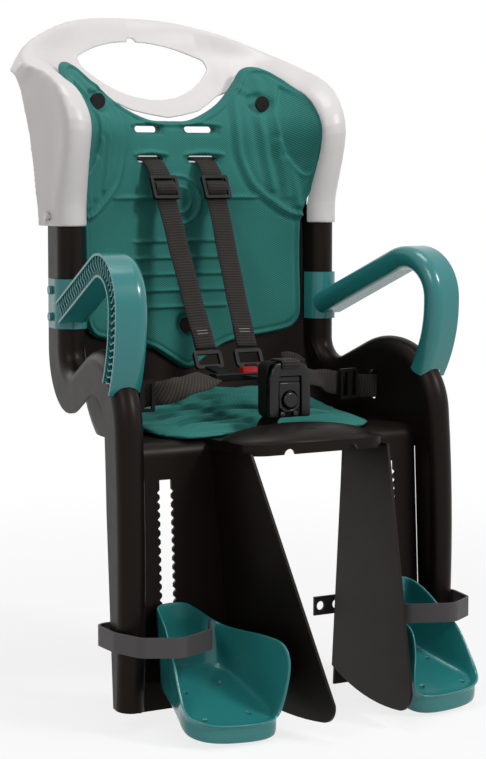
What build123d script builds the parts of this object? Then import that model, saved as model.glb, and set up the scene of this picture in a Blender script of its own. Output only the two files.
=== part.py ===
"""Child bike seat: moulded bucket with leg guards, head frame, armrests, footrests, pads and harness.

Millimetres. +X right, +Y back, +Z up, the seat faces -Y. The origin is the centre of the carrier
block's underside, where the seat stands on its carrier.
"""
import os
from math import cos, radians, sin, tan

from build123d import *

# Walls and clearances
shell_wall = 3.0
frame_wall = 2.6
arm_wall = 2.6
foot_wall = 3.0
fit_gap = 0.5
soft_gap = 0.5
running_gap = 0.3

# Carrier block and rods
rod_diameter = 12.2
rod_spacing = 76.0
block_size = (112.0, 90.0)
block_height = 21.0
rod_height = 12.0
block_screw_pitch = (44.0, 70.0)
screw_radius = 2.5
screw_head_radius = 4.6
screw_head_height = 3.0

# Seat pan, leg guard back wall and pommel
pan_top = block_height + shell_wall
pan_slot_y = -85.0
pan_slot_size = (32.0, 7.0)
wall_top_y = -110.0
wall_lean = 2.4
wall_bottom = -245.0
pan_front_radius = 16.0
pommel_half_width = 85.0
pommel_front_y = -188.0
pommel_corner = 24.0
pommel_lip = 13.0
pommel_dome_y = -142.0
pommel_dome = (88.0, 46.0, 17.0)
pommel_dent = (26.0, 8.0, 3.0)

# Side rim: a channel that runs down the post, through the valley, over the hump and down the leg guard
post_x = 157.5
post_y = 51.5
rim_flare = 9.6
nose_radius = 14.5
rim_flange = 30.5
rim_lip = 6.0
post_top = 256.0
valley_start = 108.0
valley_radius = 34.5
rise_angle = 25.0
rise_length = 42.0
hump_radius = 66.0
bead_start_angle = 85.0
bead_radius = 1600.0
bead_turn = 10.0
guard_flange_low = 8.0
guard_taper_start = 0.3

# Back panel, measured at its front face: height, depth at the middle, depth and half width at the side
panel_heights = (70.0, 125.0, 240.0, 306.0, 348.0)
panel_middle = (77.0, 88.0, 101.0, 109.0, 119.0)
panel_side = (56.5, 58.0, 60.0, 50.0, 44.0)
panel_half_width = 144.0

# Tub between pan and back panel: the same depths, with the radius of its rear corners
tub_heights = (21.0, 56.0, 90.0, 126.0)
tub_middle = (66.0, 74.0, 81.6, 88.6)
tub_side = (55.0, 56.0, 57.6, 58.6)
tub_corner = (92.0, 38.0, 12.0, 5.0)
tub_front_y = (-62.0, 2.0, 38.0, 50.0)
cheek_edge = ((-62.0, 8.0), (-36.0, 16.0), (-2.0, 36.0), (26.0, 58.0), (52.0, 92.0))
lap_slot = (-48.0, 62.0)
lap_slot_size = (32.0, 11.0)

# Openings in the shell
shoulder_slot_x = 33.5
shoulder_slot_heights = (306.5, 339.0)
shoulder_slot_size = (36.0, 7.0)
guard_slot_x = 137.0
guard_slot_width = 14.0
guard_slot_top = -14.0
guard_slot_bottom = -228.0
tooth_pitch = 9.0
tooth_size = 4.0

# Inner leg panels: half widths and depths of the upper and lower edge
panel_upper = 84.0
panel_lower_rear = 62.0
panel_lower_front = 43.0
leg_panel_bottom = -252.0
leg_panel_front_upper = -187.0
leg_panel_front_lower = -292.0
leg_panel_rear_corner = -225.0
leg_panel_lobe = (-208.0, -243.0)
leg_panel_front_corner = (-288.0, -238.0)
leg_panel_corner_radius = 20.0

# Head frame, in stations from the handle's middle down to the sleeve: inner edge, ridge and outer edge of
# the channel, and how far its face bulges between inner edge and ridge
frame_inner_edge = (
    (0, 114, 353), (43, 122, 361), (75, 136, 378), (104, 142, 385), (126, 132, 391),
    (138, 106, 393), (141, 80, 386), (142.5, 58, 377), (143.5, 41, 363), (144, 30, 347),
    (144.5, 28.5, 330), (144, 36, 304), (141.5, 46, 275), (140, 51.5, 258), (140, 51.5, 236),
)
frame_ridge = (
    (0, 221, 473), (43, 213, 471), (80, 205, 464), (113, 188, 452), (143, 172, 437),
    (168, 147, 420), (180, 118, 407), (177, 85, 399), (175, 52, 384), (174, 31, 360),
    (173.5, 24, 335), (173.5, 31, 304), (174.5, 44, 275), (175, 51.5, 258), (175, 51.5, 236),
)
frame_outer_edge = (
    (0, 236, 448), (44, 228, 446), (82, 219, 440), (116, 202, 428), (147, 186, 414),
    (171, 163, 402), (179, 137, 396), (179, 123, 380), (179, 113, 356), (178, 106, 336),
    (178, 101, 316), (178, 95, 294), (178, 91, 270), (177.5, 88, 256), (177, 86, 236),
)
frame_bulge = (-10, -9, -6, -2, 2, 5, 6, 7, 8, 9, 9.5, 11, 15, 17.8, 17.8)
frame_turns = (0, 39, 78, 117, 156)
frame_flange_steps = (0.25, 0.6, 1.0)
handle_half_width = 81.0
handle_top = 438.0
handle_upper_end = 418.0
handle_lower_end = 409.0
handle_bottom = 372.0
handle_corner = 4.0
handle_notch_radius = 5.0
frame_screw_height = 246.0
frame_screw_stand_off = 7.2

# Armrests, in the plane of the side rim
bracket_bottom = 129.0
bracket_top = 181.0
bracket_depth = 20.0
arm_screw_heights = (141.0, 169.0)
rim_screw_inset = 9.0
screw_reach = 12.0
arm_width = 36.0
arm_height = 24.0
arm_start = (10.0, 146.0)
arm_rise_angle = 24.0
arm_rise_length = 127.0
arm_bend_radius = 42.0
arm_bend_angle = 112.0
arm_drop_radius = 150.0
arm_drop_angle = 32.0
arm_rib_pitch = 7.0
arm_rib_wall = 1.4
arm_rib_wave = 2.2

# Footrests: outlines across the wall (x, depth in front of the wall), along it (depth, height) and
# from the front (x, height)
foot_floor = -203.0
foot_slope = 20.0
foot_bottom = -264.0
foot_top = -138.0
foot_heel = (86.0, 157.0)
foot_outer_front = (179.0, -70.0)
foot_toe = (150.0, -110.0)
foot_inner_front = (76.0, -136.0)
foot_corners = (18.0, 26.0, 16.0, 8.0)
foot_floor_radius = 9.0
foot_lip = 16.0
foot_split_x = 128.0
foot_shoulder = ((foot_split_x, -138.0), (110.0, -142.0), (94.0, -158.0), (76.0, -166.0), (60.0, -168.0))
foot_outer_edge = ((-14.0, -138.0), (-40.0, -158.0), (-60.0, -177.0), (-75.0, -190.0), (-84.0, -222.0))
foot_inner_edge = ((-104.0, -166.0), (-124.0, -170.0), (-133.0, -180.0), (-137.0, -196.0), (-138.0, -210.0))
foot_wall_gap = 1.0
drain_radius = 3.0
drain_places = ((100.0, -40.0), (150.0, -40.0), (100.0, -100.0), (148.0, -84.0))
catch_size = (30.0, 46.0)
catch_wall = 4.0
neck_width = 12.5
neck_height = 30.0
neck_z = -170.0
catch_screw_pitch = 22.0
catch_screw_depth = 9.0

# Foot straps, level bands round the leg guard's bead
band_height = 20.0
band_wall = 2.4
band_z = -167.0
band_route = (
    (98.0, -131.0), (120.0, -172.0), (165.0, -193.0), (200.0, -172.0),
    (209.0, -135.0), (206.0, -88.0), (58.0, -88.0),
)
band_bend = 16.0
peg_radius = 3.0
keyhole_radius = 4.8
keyhole_places = (86.0, 66.0)

# Pads
pad_thickness = 8.0
pad_heights = panel_heights + (372.0, 399.0, 420.0)
pad_middle = panel_middle + (138.0, 160.0, 178.0)
pad_side = panel_side + (66.0, 108.0, 128.0)
pad_tip = 77.0
pad_lower_edge = ((45.0, 101.0), (100.0, 112.0))
pad_corner = (136.0, 130.0)
pad_side_edge = ((137.0, 240.0), (143.0, 304.0), (146.0, 338.0), (143.0, 372.0), (134.0, 396.0))
pad_horn = ((118.0, 410.0), (107.0, 408.0))
pad_top_edge = ((92.0, 392.0), (62.0, 366.0), (28.0, 350.0))
snap_radius = 8.5
snap_height = 3.0
snap_places = ((-104.0, 368.0, 98.0), (104.0, 368.0, 98.0), (0.0, 125.0, 88.0))
seat_pad_half_width = 130.0
seat_pad_front_y = -112.0
seat_pad_corner = 36.0
seat_pad_thickness = 6.0
seat_pad_middle_rise = 4.0
seat_pad_rear_rise = 27.0

# Webbing and buckle
webbing = 25.0
webbing_wall = 1.6
shoulder_route = ((33.5, 111.55, 306.5), (33.5, 95.0, 306.0), (33.0, 80.5, 294.0), (25.7, -5.0, 104.0))
shoulder_bend = 16.0
adjuster_size = (33.0, 27.0, 4.0)
adjuster_rail = 4.0
loop_size = (34.0, 20.0, 4.0)
loop_rail = 4.0
tongue_width = 14.0
tongue_wall = 3.0
tongue_x = 20.0
yoke_center = (0.0, -50.0, 79.0)
yoke_size = (88.0, 14.0, 8.0)
yoke_tongue_width = 20.0
release_size = (18.0, 9.0, 6.0)
release_travel = 2.5
lap_route = (
    (170.0, -47.0, 62.0), (148.0, -48.0, 62.0), (110.0, -56.0, 66.0), (70.0, -60.0, 76.0), (45.0, -51.0, 79.0)
)
lap_bend = 14.0
buckle_size = (50.0, 16.0, 58.0)
buckle_base = 42.0
buckle_y = -116.0
buckle_wall = 2.5
buckle_corner = 8.0
cover_depth = 6.0
cover_opening = (24.0, 28.0)
cover_cut = 6.0
button_radius = 8.5
button_flange = 14.5
button_z = 60.0
button_dome = 2.0
crotch_low = 8.0
crotch_rise = 34.0
crotch_turn = 46.0
crotch_high = 70.0
crotch_bend = 8.0
wrap_low = 90.0
wrap_bend = 1.0


def rim_plane(offset=0.0):
    """Upright plane of the right side rim: forward is local x, up is local y, the child is on local z."""
    flare = radians(rim_flare)
    forward = (sin(flare), -cos(flare), 0)
    inward = (-cos(flare), -sin(flare), 0)
    return Plane(origin=(post_x, post_y, 0), x_dir=forward, z_dir=inward).offset(offset)


def draw_rim():
    """The rim's centre line, drawn in the active line builder."""
    post = Line((0, post_top), (0, valley_start))
    valley = JernArc(post @ 1, post % 1, valley_radius, 90 + rise_angle)
    rise = Line(valley @ 1, valley @ 1 + (valley % 1) * rise_length)
    hump = JernArc(rise @ 1, rise % 1, hump_radius, -rise_angle - bead_start_angle)
    return JernArc(hump @ 1, hump % 1, bead_radius, -bead_turn)


def along_rim(y):
    """Distance along the rim plane of a depth y."""
    return (post_y - y) / cos(radians(rim_flare))


def wall_y(z):
    """Front face of the leg guard's back wall at a height."""
    return wall_top_y - (pan_top - z) * tan(radians(wall_lean))


def wall_plane(height):
    """Plane across the leg guard's back wall: local x across, local y away from its front, z along it."""
    lean = radians(wall_lean)
    return Plane(origin=(0, wall_y(height), height), x_dir=(1, 0, 0), z_dir=(0, sin(lean), cos(lean)))


def wall_side(x=0.0):
    """Plane along the wall, seen from the right: local x is depth behind its front face, y is height."""
    lean = radians(wall_lean)
    return Plane(origin=(x, wall_y(0), 0), x_dir=(0, cos(lean), -sin(lean)), z_dir=(1, 0, 0))


def wall_front(depth):
    """Plane parallel to the wall, a depth behind its front face: local x across, local y is height."""
    lean = radians(wall_lean)
    face = Plane(origin=(0, wall_y(0), 0), x_dir=(1, 0, 0), z_dir=(0, -cos(lean), sin(lean)))
    return face.offset(-depth)


def cheek_x(y, inset):
    """Half width between the cheeks at a depth y, a distance inside the rim's plane."""
    flare = radians(rim_flare)
    return post_x + (post_y - y) * tan(flare) - inset / cos(flare)


def bucket_section(z, middle, side, wall):
    """Level face of a concave sheet whose front face passes through the middle and side depths."""
    edge = panel_half_width
    with BuildSketch(Plane.XY.offset(z)) as section:
        with BuildLine():
            front = ThreePointArc((-edge, side), (0, middle), (edge, side))
            back = ThreePointArc((edge, side + wall), (0, middle + wall), (-edge, side + wall))
            Line(front @ 1, back @ 0)
            Line(back @ 1, front @ 0)
        make_face()
    return section.sketch


def tub_outline(z, middle, side, corner, inset, front_y):
    """Level face inside the tub's sides and rear arc, with rounded rear corners."""
    rear_x = cheek_x(side, inset)
    front_x = cheek_x(front_y, inset)
    with BuildSketch(Plane.XY.offset(z)) as outline:
        with BuildLine():
            rear = ThreePointArc((-rear_x, side), (0, middle), (rear_x, side))
            Polyline(rear @ 1, (front_x, front_y), (-front_x, front_y), rear @ 0)
        make_face()
        fillet(outline.vertices().group_by(Axis.Y)[-1], corner)
    return outline.sketch


def tub_section(z, middle, side, corner, front_y):
    """Level face of the tub's wall, open towards the front."""
    outside = tub_outline(z, middle + shell_wall, side + shell_wall, corner, nose_inside + fit_gap, front_y)
    inside = tub_outline(z, middle, side, corner - shell_wall, nose_radius + fit_gap, front_y - shell_wall)
    return outside - inside


def main_solid(part):
    """The largest solid of a piece, without trimmed-off slivers."""
    return part.solids().sort_by(SortBy.VOLUME)[-1]


def mirrored(part, label):
    """The left-hand copy of a right-hand piece."""
    copy = mirror(part, about=Plane.YZ, mode=Mode.PRIVATE)
    copy.label = label
    return copy


def save(part, label):
    """Name a finished piece and write it."""
    part.label = label
    export_step(part, f"parts/{label}.step")


def save_pair(part, label):
    """Write a right-hand piece and its mirror."""
    save(mirrored(part, f"{label}_left"), f"{label}_left")
    save(part, f"{label}_right")


os.makedirs("parts", exist_ok=True)
nose_inside = nose_radius - shell_wall

# Side rim of the right side: its line, its channel profile and the room it takes up
with BuildLine(rim_plane()) as rim_line:
    bead = draw_rim()
bead_low = rim_plane().to_local_coords(bead @ 1)
bead_high = rim_plane().to_local_coords(bead @ guard_taper_start)
rim_start = Plane(origin=rim_line.line @ 0, x_dir=rim_plane().x_dir, z_dir=(0, 0, -1))
with BuildSketch(rim_start) as rim_profile:
    with BuildLine():
        outer_flange = Line((-rim_flange, -nose_radius), (0, -nose_radius))
        nose = ThreePointArc(outer_flange @ 1, (nose_radius, 0), (0, nose_radius))
        lip = Line(nose @ 1, (-rim_lip, nose_radius))
        lip_end = Line(lip @ 1, (-rim_lip, nose_inside))
        lip_back = Line(lip_end @ 1, (0, nose_inside))
        nose_back = ThreePointArc(lip_back @ 1, (nose_inside, 0), (0, -nose_inside))
        flange_back = Line(nose_back @ 1, (-rim_flange, -nose_inside))
        Line(flange_back @ 1, outer_flange @ 0)
    make_face()
rim_room_radius = nose_radius + fit_gap
with BuildSketch(rim_start) as room_profile:
    with BuildLine():
        room_nose = ThreePointArc((0, -rim_room_radius), (rim_room_radius, 0), (0, rim_room_radius))
        Polyline(
            room_nose @ 1,
            (-rim_flange - fit_gap, rim_room_radius),
            (-rim_flange - fit_gap, -rim_room_radius),
            room_nose @ 0,
        )
    make_face()
with BuildPart() as rim_room:
    sweep(sections=room_profile.sketch, path=rim_line.line)

cheek_rear = along_rim(max(panel_side) + 2 * shell_wall)
with BuildPart() as side_rim:
    sweep(sections=rim_profile.sketch, path=rim_line.line)
    with BuildSketch(rim_plane(nose_inside)) as cheek:
        with BuildLine():
            bead_end = draw_rim()
            Polyline(
                bead_end @ 1,
                (along_rim(wall_y(wall_bottom)), wall_bottom),
                (along_rim(wall_y(0)), 0),
                *[(along_rim(y), z) for y, z in cheek_edge],
                (cheek_rear, cheek_edge[-1][1]),
                (cheek_rear, post_top),
                (0, post_top),
            )
        make_face()
    extrude(amount=shell_wall)
    with BuildSketch(rim_plane(-nose_radius)):
        with BuildLine():
            Polyline(
                (bead_low.X - guard_flange_low, bead_low.Y),
                (bead_high.X - rim_flange, bead_high.Y),
                (0, bead_high.Y),
                (0, bead_low.Y),
                close=True,
            )
        make_face()
    extrude(amount=shell_wall + fit_gap, mode=Mode.SUBTRACT)
    with BuildSketch(rim_plane(nose_radius + shell_wall)):
        with Locations((along_rim(lap_slot[0]), lap_slot[1])):
            SlotOverall(*lap_slot_size, rotation=90)
    extrude(amount=-3 * shell_wall, mode=Mode.SUBTRACT)

# Screws through the rim's outer flange: armrest bracket and head frame
with BuildPart() as rim_screw_holes:
    with BuildSketch(rim_plane(-nose_radius - screw_reach)):
        with Locations(*[(-rim_screw_inset, z) for z in arm_screw_heights + (frame_screw_height,)]):
            Circle(screw_radius + fit_gap)
    extrude(amount=2 * screw_reach)
left_screw_holes = mirror(rim_screw_holes.part, about=Plane.YZ, mode=Mode.PRIVATE)

# Inner leg panel of the right side
wall_foot_y = wall_y(wall_bottom)
with BuildPart() as leg_panel:
    with BuildSketch(Plane.XY.offset(pommel_lip + shell_wall)) as panel_head:
        with BuildLine():
            Polyline(
                (panel_upper - shell_wall, wall_y(pommel_lip) + shell_wall),
                (panel_upper, wall_y(pommel_lip) + shell_wall),
                (panel_upper, leg_panel_front_upper),
                (panel_upper - shell_wall, leg_panel_front_upper),
                close=True,
            )
        make_face()
    with BuildSketch(Plane.XY.offset(leg_panel_bottom)) as panel_foot:
        with BuildLine():
            Polyline(
                (panel_lower_rear - shell_wall, wall_foot_y + shell_wall),
                (panel_lower_rear, wall_foot_y + shell_wall),
                (panel_lower_front, leg_panel_front_lower),
                (panel_lower_front - shell_wall, leg_panel_front_lower),
                close=True,
            )
        make_face()
    loft(ruled=True)
    with BuildSketch(Plane.YZ) as panel_outline:
        with BuildLine():
            bottom = ThreePointArc(
                (wall_y(leg_panel_rear_corner) + shell_wall, leg_panel_rear_corner),
                leg_panel_lobe,
                leg_panel_front_corner,
            )
            Polyline(
                bottom @ 1,
                (leg_panel_front_upper, pommel_lip + shell_wall),
                (wall_y(pommel_lip) + shell_wall, pommel_lip + shell_wall),
                bottom @ 0,
            )
        make_face()
        fillet(panel_outline.vertices().sort_by(Axis.X)[0], leg_panel_corner_radius)
    extrude(amount=panel_upper + shell_wall, mode=Mode.INTERSECT)

# Pommel: a lipped ledge with a shallow dome, hollow underneath and open towards the rods
pommel_depth = wall_top_y - pommel_front_y + pan_front_radius
with BuildPart() as dome_inside:
    Sphere(1)
    scale(by=tuple(size - shell_wall for size in pommel_dome))
with BuildPart() as dent:
    Sphere(1)
    scale(by=pommel_dent)
with BuildPart() as dome:
    Sphere(1)
    scale(by=pommel_dome)
with BuildPart() as pommel:
    with BuildSketch(Plane.XY.offset(pommel_lip)) as pommel_plan:
        with Locations((0, pommel_front_y + pommel_depth / 2)):
            Rectangle(2 * pommel_half_width, pommel_depth)
        fillet(pommel_plan.vertices().group_by(Axis.Y)[0], pommel_corner)
    extrude(amount=pan_top - pommel_lip)
    with Locations((0, pommel_dome_y, pan_top - shell_wall)):
        add(dome.part)
    extrude(to_extrude=pommel_plan.sketch, amount=2 * pommel_dome[2], mode=Mode.INTERSECT)
    with BuildSketch(Plane.XY.offset(pommel_lip)) as pommel_hollow:
        with Locations((0, pommel_front_y + shell_wall + pommel_depth / 2)):
            Rectangle(2 * (pommel_half_width - shell_wall), pommel_depth)
        fillet(pommel_hollow.vertices().group_by(Axis.Y)[0], pommel_corner - shell_wall)
    extrude(amount=pan_top - pommel_lip - shell_wall, mode=Mode.SUBTRACT)
    with Locations((0, pommel_dome_y, pan_top - shell_wall)):
        add(dome_inside.part, mode=Mode.SUBTRACT)
    with Locations((0, pommel_front_y + pommel_corner, pan_top + pommel_dome[2] / 2)):
        add(dent.part, mode=Mode.SUBTRACT)

panel_sections = [
    bucket_section(z, middle, side, shell_wall)
    for z, middle, side in zip(panel_heights, panel_middle, panel_side)
]
tub_sections = [
    tub_section(*level) for level in zip(tub_heights, tub_middle, tub_side, tub_corner, tub_front_y)
]
pan_plan = tub_outline(
    wall_bottom,
    tub_middle[0] + shell_wall / 2,
    tub_side[0] + shell_wall / 2,
    tub_corner[0],
    nose_radius - shell_wall / 2,
    wall_foot_y,
)

# Seat shell: one moulding
with BuildPart() as seat_shell:
    # Pan and the leg guards' back walls, bent from one sheet
    pan_rear_y = tub_middle[0] + tub_corner[0]
    with BuildSketch(Plane.YZ):
        with BuildLine():
            top = FilletPolyline(
                (pan_rear_y, pan_top),
                (wall_top_y, pan_top),
                (wall_foot_y, wall_bottom),
                radius=pan_front_radius,
            )
            under = FilletPolyline(
                (pan_rear_y, pan_top - shell_wall),
                (wall_top_y + shell_wall, pan_top - shell_wall),
                (wall_foot_y + shell_wall, wall_bottom),
                radius=pan_front_radius - shell_wall,
            )
            Line(top @ 0, under @ 0)
            Line(top @ 1, under @ 1)
        make_face()
    extrude(amount=post_x + pommel_half_width, both=True)
    extrude(to_extrude=pan_plan, amount=pan_top - wall_bottom, mode=Mode.INTERSECT)
    # Wheel gap between the inner leg panels
    with BuildSketch(Plane.XZ.offset(-wall_top_y + pan_front_radius + panel_upper)):
        with BuildLine():
            Polyline(
                (panel_upper - shell_wall, pan_top - shell_wall),
                (-panel_upper + shell_wall, pan_top - shell_wall),
                (-panel_lower_rear, wall_bottom),
                (panel_lower_rear, wall_bottom),
                close=True,
            )
        make_face()
    extrude(amount=-2 * panel_upper, mode=Mode.SUBTRACT)
    # Tub and concave back panel
    loft(sections=tub_sections)
    loft(sections=panel_sections, ruled=True)
    # Sides
    for half in (side_rim.part, leg_panel.part):
        add(half)
        add(mirror(half, about=Plane.YZ, mode=Mode.PRIVATE))
    add(pommel.part)
    # Rod notches in the lip
    with BuildSketch(Plane.XZ.offset(-pommel_front_y + shell_wall)):
        with Locations((-rod_spacing / 2, rod_height), (rod_spacing / 2, rod_height)):
            Circle(rod_diameter / 2 + fit_gap)
    extrude(amount=-2 * shell_wall, mode=Mode.SUBTRACT)
    # Slot for the crotch strap, through the pan
    with BuildSketch(Plane.XY.offset(pan_top + shell_wall)):
        with Locations((0, pan_slot_y)):
            SlotOverall(*pan_slot_size)
    extrude(amount=-3 * shell_wall, mode=Mode.SUBTRACT)
    # Slots for the shoulder straps, through the back
    with BuildSketch(Plane.XZ.offset(-panel_middle[-1] - 2 * shell_wall)):
        for height in shoulder_slot_heights:
            with Locations((-shoulder_slot_x, height), (shoulder_slot_x, height)):
                SlotOverall(*shoulder_slot_size)
    extrude(amount=panel_middle[-1] - panel_side[0], mode=Mode.SUBTRACT)
    # Toothed slots for the footrests
    slot_height = guard_slot_top - guard_slot_bottom
    slot_middle = (guard_slot_top + guard_slot_bottom) / 2
    with BuildSketch(Plane.XZ.offset(-wall_foot_y + shell_wall)):
        with Locations((-guard_slot_x, slot_middle), (guard_slot_x, slot_middle)):
            Rectangle(guard_slot_width, slot_height)
            with GridLocations(guard_slot_width, tooth_pitch, 2, int(slot_height / tooth_pitch) - 1):
                Rectangle(tooth_size, tooth_size, rotation=45)
    extrude(amount=-(wall_y(0) - wall_foot_y + 4 * shell_wall), mode=Mode.SUBTRACT)
    # Screw holes
    add(rim_screw_holes.part, mode=Mode.SUBTRACT)
    add(left_screw_holes, mode=Mode.SUBTRACT)
    with BuildSketch(Plane.XY.offset(pan_top + shell_wall)):
        with GridLocations(*block_screw_pitch, 2, 2):
            Circle(screw_radius + fit_gap)
    extrude(amount=-3 * shell_wall, mode=Mode.SUBTRACT)
save(seat_shell.part, "seat_shell")


# Head frame: the white collar, a channel lofted from sections across it
def refined(values):
    """The values with a smooth one put in between each two."""
    ends = [values[0] * 2 - values[1]] + values + [values[-1] * 2 - values[-2]]
    dense = []
    for before, here, there, after in zip(ends, ends[1:], ends[2:], ends[3:]):
        dense += [here, (here + there) * 9 / 16 - (before + after) / 16]
    return dense + values[-1:]


def channel_section(start, top, end, bulge):
    """Face across the collar: a skin from the inner edge over the ridge to the outer edge."""
    across = top - start
    plane = Plane(origin=start, x_dir=across, z_dir=across.cross(end - start))
    ridge = Vector(across.length, 0)
    flange = plane.to_local_coords(end) - ridge
    outside = []
    for turn in frame_turns:
        outside.append(ridge * ((1 - cos(radians(turn))) / 2) - Vector(0, bulge) * sin(radians(turn)))
    outside += [ridge + flange * step for step in frame_flange_steps]
    ends = [outside[0] * 2 - outside[1]] + outside + [outside[-1] * 2 - outside[-2]]
    inside = []
    for before, point, after in zip(ends, outside, ends[2:]):
        along = (after - before).normalized()
        inside.append(point + Vector(-along.Y, along.X) * frame_wall)
    with BuildSketch(plane) as section:
        with BuildLine():
            skin = Spline(*[(point.X, point.Y) for point in outside])
            lining = Spline(*[(point.X, point.Y) for point in reversed(inside)])
            Line(skin @ 1, lining @ 0)
            Line(lining @ 1, skin @ 0)
        make_face()
    return section.sketch


frame_sections = [
    channel_section(*station)
    for station in zip(
        refined([Vector(point) for point in frame_inner_edge]),
        refined([Vector(point) for point in frame_ridge]),
        refined([Vector(point) for point in frame_outer_edge]),
        refined(list(frame_bulge)),
    )
]
with BuildPart() as head_frame:
    loft(sections=frame_sections, ruled=True)
    mirror(about=Plane.YZ)
    with BuildSketch(Plane.XZ.offset(-frame_outer_edge[0][1] - frame_wall)) as handle:
        with BuildLine():
            upper = ThreePointArc(
                (-handle_half_width, handle_upper_end), (0, handle_top), (handle_half_width, handle_upper_end)
            )
            lower = ThreePointArc(
                (handle_half_width, handle_lower_end), (0, handle_bottom), (-handle_half_width, handle_lower_end)
            )
            Line(upper @ 1, lower @ 0)
            Line(lower @ 1, upper @ 0)
        make_face()
        fillet(handle.vertices(), handle_corner)
        with Locations((0, handle_top)):
            Circle(handle_notch_radius)
    extrude(amount=frame_outer_edge[0][1] - panel_side[-1], mode=Mode.SUBTRACT)
    add(rim_room.part, mode=Mode.SUBTRACT)
    add(mirror(rim_room.part, about=Plane.YZ, mode=Mode.PRIVATE), mode=Mode.SUBTRACT)
    add(rim_screw_holes.part, mode=Mode.SUBTRACT)
    add(left_screw_holes, mode=Mode.SUBTRACT)
save(head_frame.part, "head_frame")

# Armrest of the right side: a ribbed channel that opens outwards, with a bracket round the post
with BuildLine(rim_plane()) as arm_line:
    arm_rise = PolarLine(arm_start, arm_rise_length, arm_rise_angle)
    arm_bend = JernArc(arm_rise @ 1, arm_rise % 1, arm_bend_radius, -arm_bend_angle)
    arm_drop = JernArc(arm_bend @ 1, arm_bend % 1, arm_drop_radius, -arm_drop_angle)
arm_up = rim_plane().z_dir.cross(arm_rise % 0)
arm_end = Plane(origin=arm_line.line @ 0, x_dir=arm_up, z_dir=arm_rise % 0)
half_height = arm_height / 2
half_width = arm_width / 2
arm_shoulder = half_width - half_height
with BuildSketch(arm_end) as arm_profile:
    with BuildLine():
        under = Line((-half_height, -half_width), (-half_height, arm_shoulder))
        face = ThreePointArc(under @ 1, (0, half_width), (half_height, arm_shoulder))
        over = Line(face @ 1, (half_height, -half_width))
        over_edge = Line(over @ 1, (half_height - arm_wall, -half_width))
        over_back = Line(over_edge @ 1, (half_height - arm_wall, arm_shoulder))
        face_back = ThreePointArc(
            over_back @ 1, (0, half_width - arm_wall), (-half_height + arm_wall, arm_shoulder)
        )
        under_back = Line(face_back @ 1, (-half_height + arm_wall, -half_width))
        Line(under_back @ 1, under @ 0)
    make_face()
bracket_radius = rim_room_radius + arm_wall
arm_wire = arm_line.wires()[0]
rib_count = int(arm_wire.length / arm_rib_pitch)
with BuildPart() as armrest:
    sweep(sections=arm_profile.sketch, path=arm_line.line)
    with BuildSketch(rim_plane(-half_width + arm_wall / 2)):
        for rib in range(1, rib_count):
            place = rib / rib_count
            middle = rim_plane().to_local_coords(arm_wire @ place)
            along = rim_plane().to_local_coords(rim_plane().origin + arm_wire % place)
            upward = Vector(-along.Y, along.X) * (half_height - arm_wall / 2)
            wave = along * arm_rib_wave
            wall = along * arm_rib_wall
            crest = [middle - upward, middle - upward / 3 + wave, middle + upward / 3 - wave, middle + upward]
            with BuildLine():
                Polyline(*[(p.X, p.Y) for p in crest + [p + wall for p in reversed(crest)]], close=True)
            make_face()
    extrude(amount=half_width + arm_shoulder)
    with BuildSketch(Plane(origin=rim_plane().origin, x_dir=rim_plane().x_dir).offset(bracket_bottom)):
        with BuildLine():
            nose_arc = ThreePointArc((0, -bracket_radius), (bracket_radius, 0), (0, bracket_radius))
            Polyline(nose_arc @ 1, (-bracket_depth, bracket_radius), (-rim_lip, -bracket_radius), nose_arc @ 0)
        make_face()
    extrude(amount=bracket_top - bracket_bottom)
    add(rim_room.part, mode=Mode.SUBTRACT)
    add(rim_screw_holes.part, mode=Mode.SUBTRACT)
save_pair(main_solid(armrest.part), "armrest")


def rim_screws(heights, stand_off):
    """Screws through the rim's outer flange at the given heights, their heads a distance outside it."""
    with BuildPart() as screws:
        with BuildSketch(rim_plane(-nose_radius - stand_off)):
            with Locations(*[(-rim_screw_inset, z) for z in heights]):
                Circle(screw_head_radius)
        extrude(amount=-screw_head_height)
        with BuildSketch(rim_plane(-nose_radius - stand_off)):
            with Locations(*[(-rim_screw_inset, z) for z in heights]):
                Circle(screw_radius)
        extrude(amount=stand_off + 2 * shell_wall)
    return screws.part


save_pair(rim_screws(arm_screw_heights, 2 * fit_gap + arm_wall), "armrest_screws")
save_pair(rim_screws((frame_screw_height,), frame_screw_stand_off), "head_frame_screw")

# Footrest of the right side: a scoop with a heel, built along the leg guard's wall
def foot_outline(inset, open_toe):
    """Face across the footrest, inset by a wall, its toe closed or open."""
    heel_y = -foot_wall_gap - inset
    heel_inner = (foot_heel[0] + inset, heel_y)
    heel_outer = (foot_heel[1] - inset, heel_y)
    outer = (foot_outer_front[0] - inset, foot_outer_front[1])
    inner = (foot_inner_front[0] + inset, foot_inner_front[1] + inset)
    toe_y = 2 * foot_inner_front[1]
    with BuildSketch(wall_plane(foot_bottom)) as outline:
        with BuildLine():
            Polyline(outer, heel_outer, heel_inner, inner)
            if open_toe:
                Polyline(outer, (outer[0], toe_y), (inner[0], toe_y), inner)
            else:
                ThreePointArc(outer, (foot_toe[0] - inset, foot_toe[1] + inset), inner)
        make_face()
        fillet(outline.vertices().group_by(Axis.Y)[-1].sort_by(Axis.X)[0], foot_corners[0] - inset)
        fillet(outline.vertices().group_by(Axis.Y)[-1].sort_by(Axis.X)[-1], foot_corners[1] - inset)
        if not open_toe:
            fillet(outline.vertices().sort_by(Axis.X)[-1], foot_corners[2] - inset)
            fillet(outline.vertices().sort_by(Axis.Y)[0], foot_corners[3] - inset)
    return outline.sketch


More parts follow.
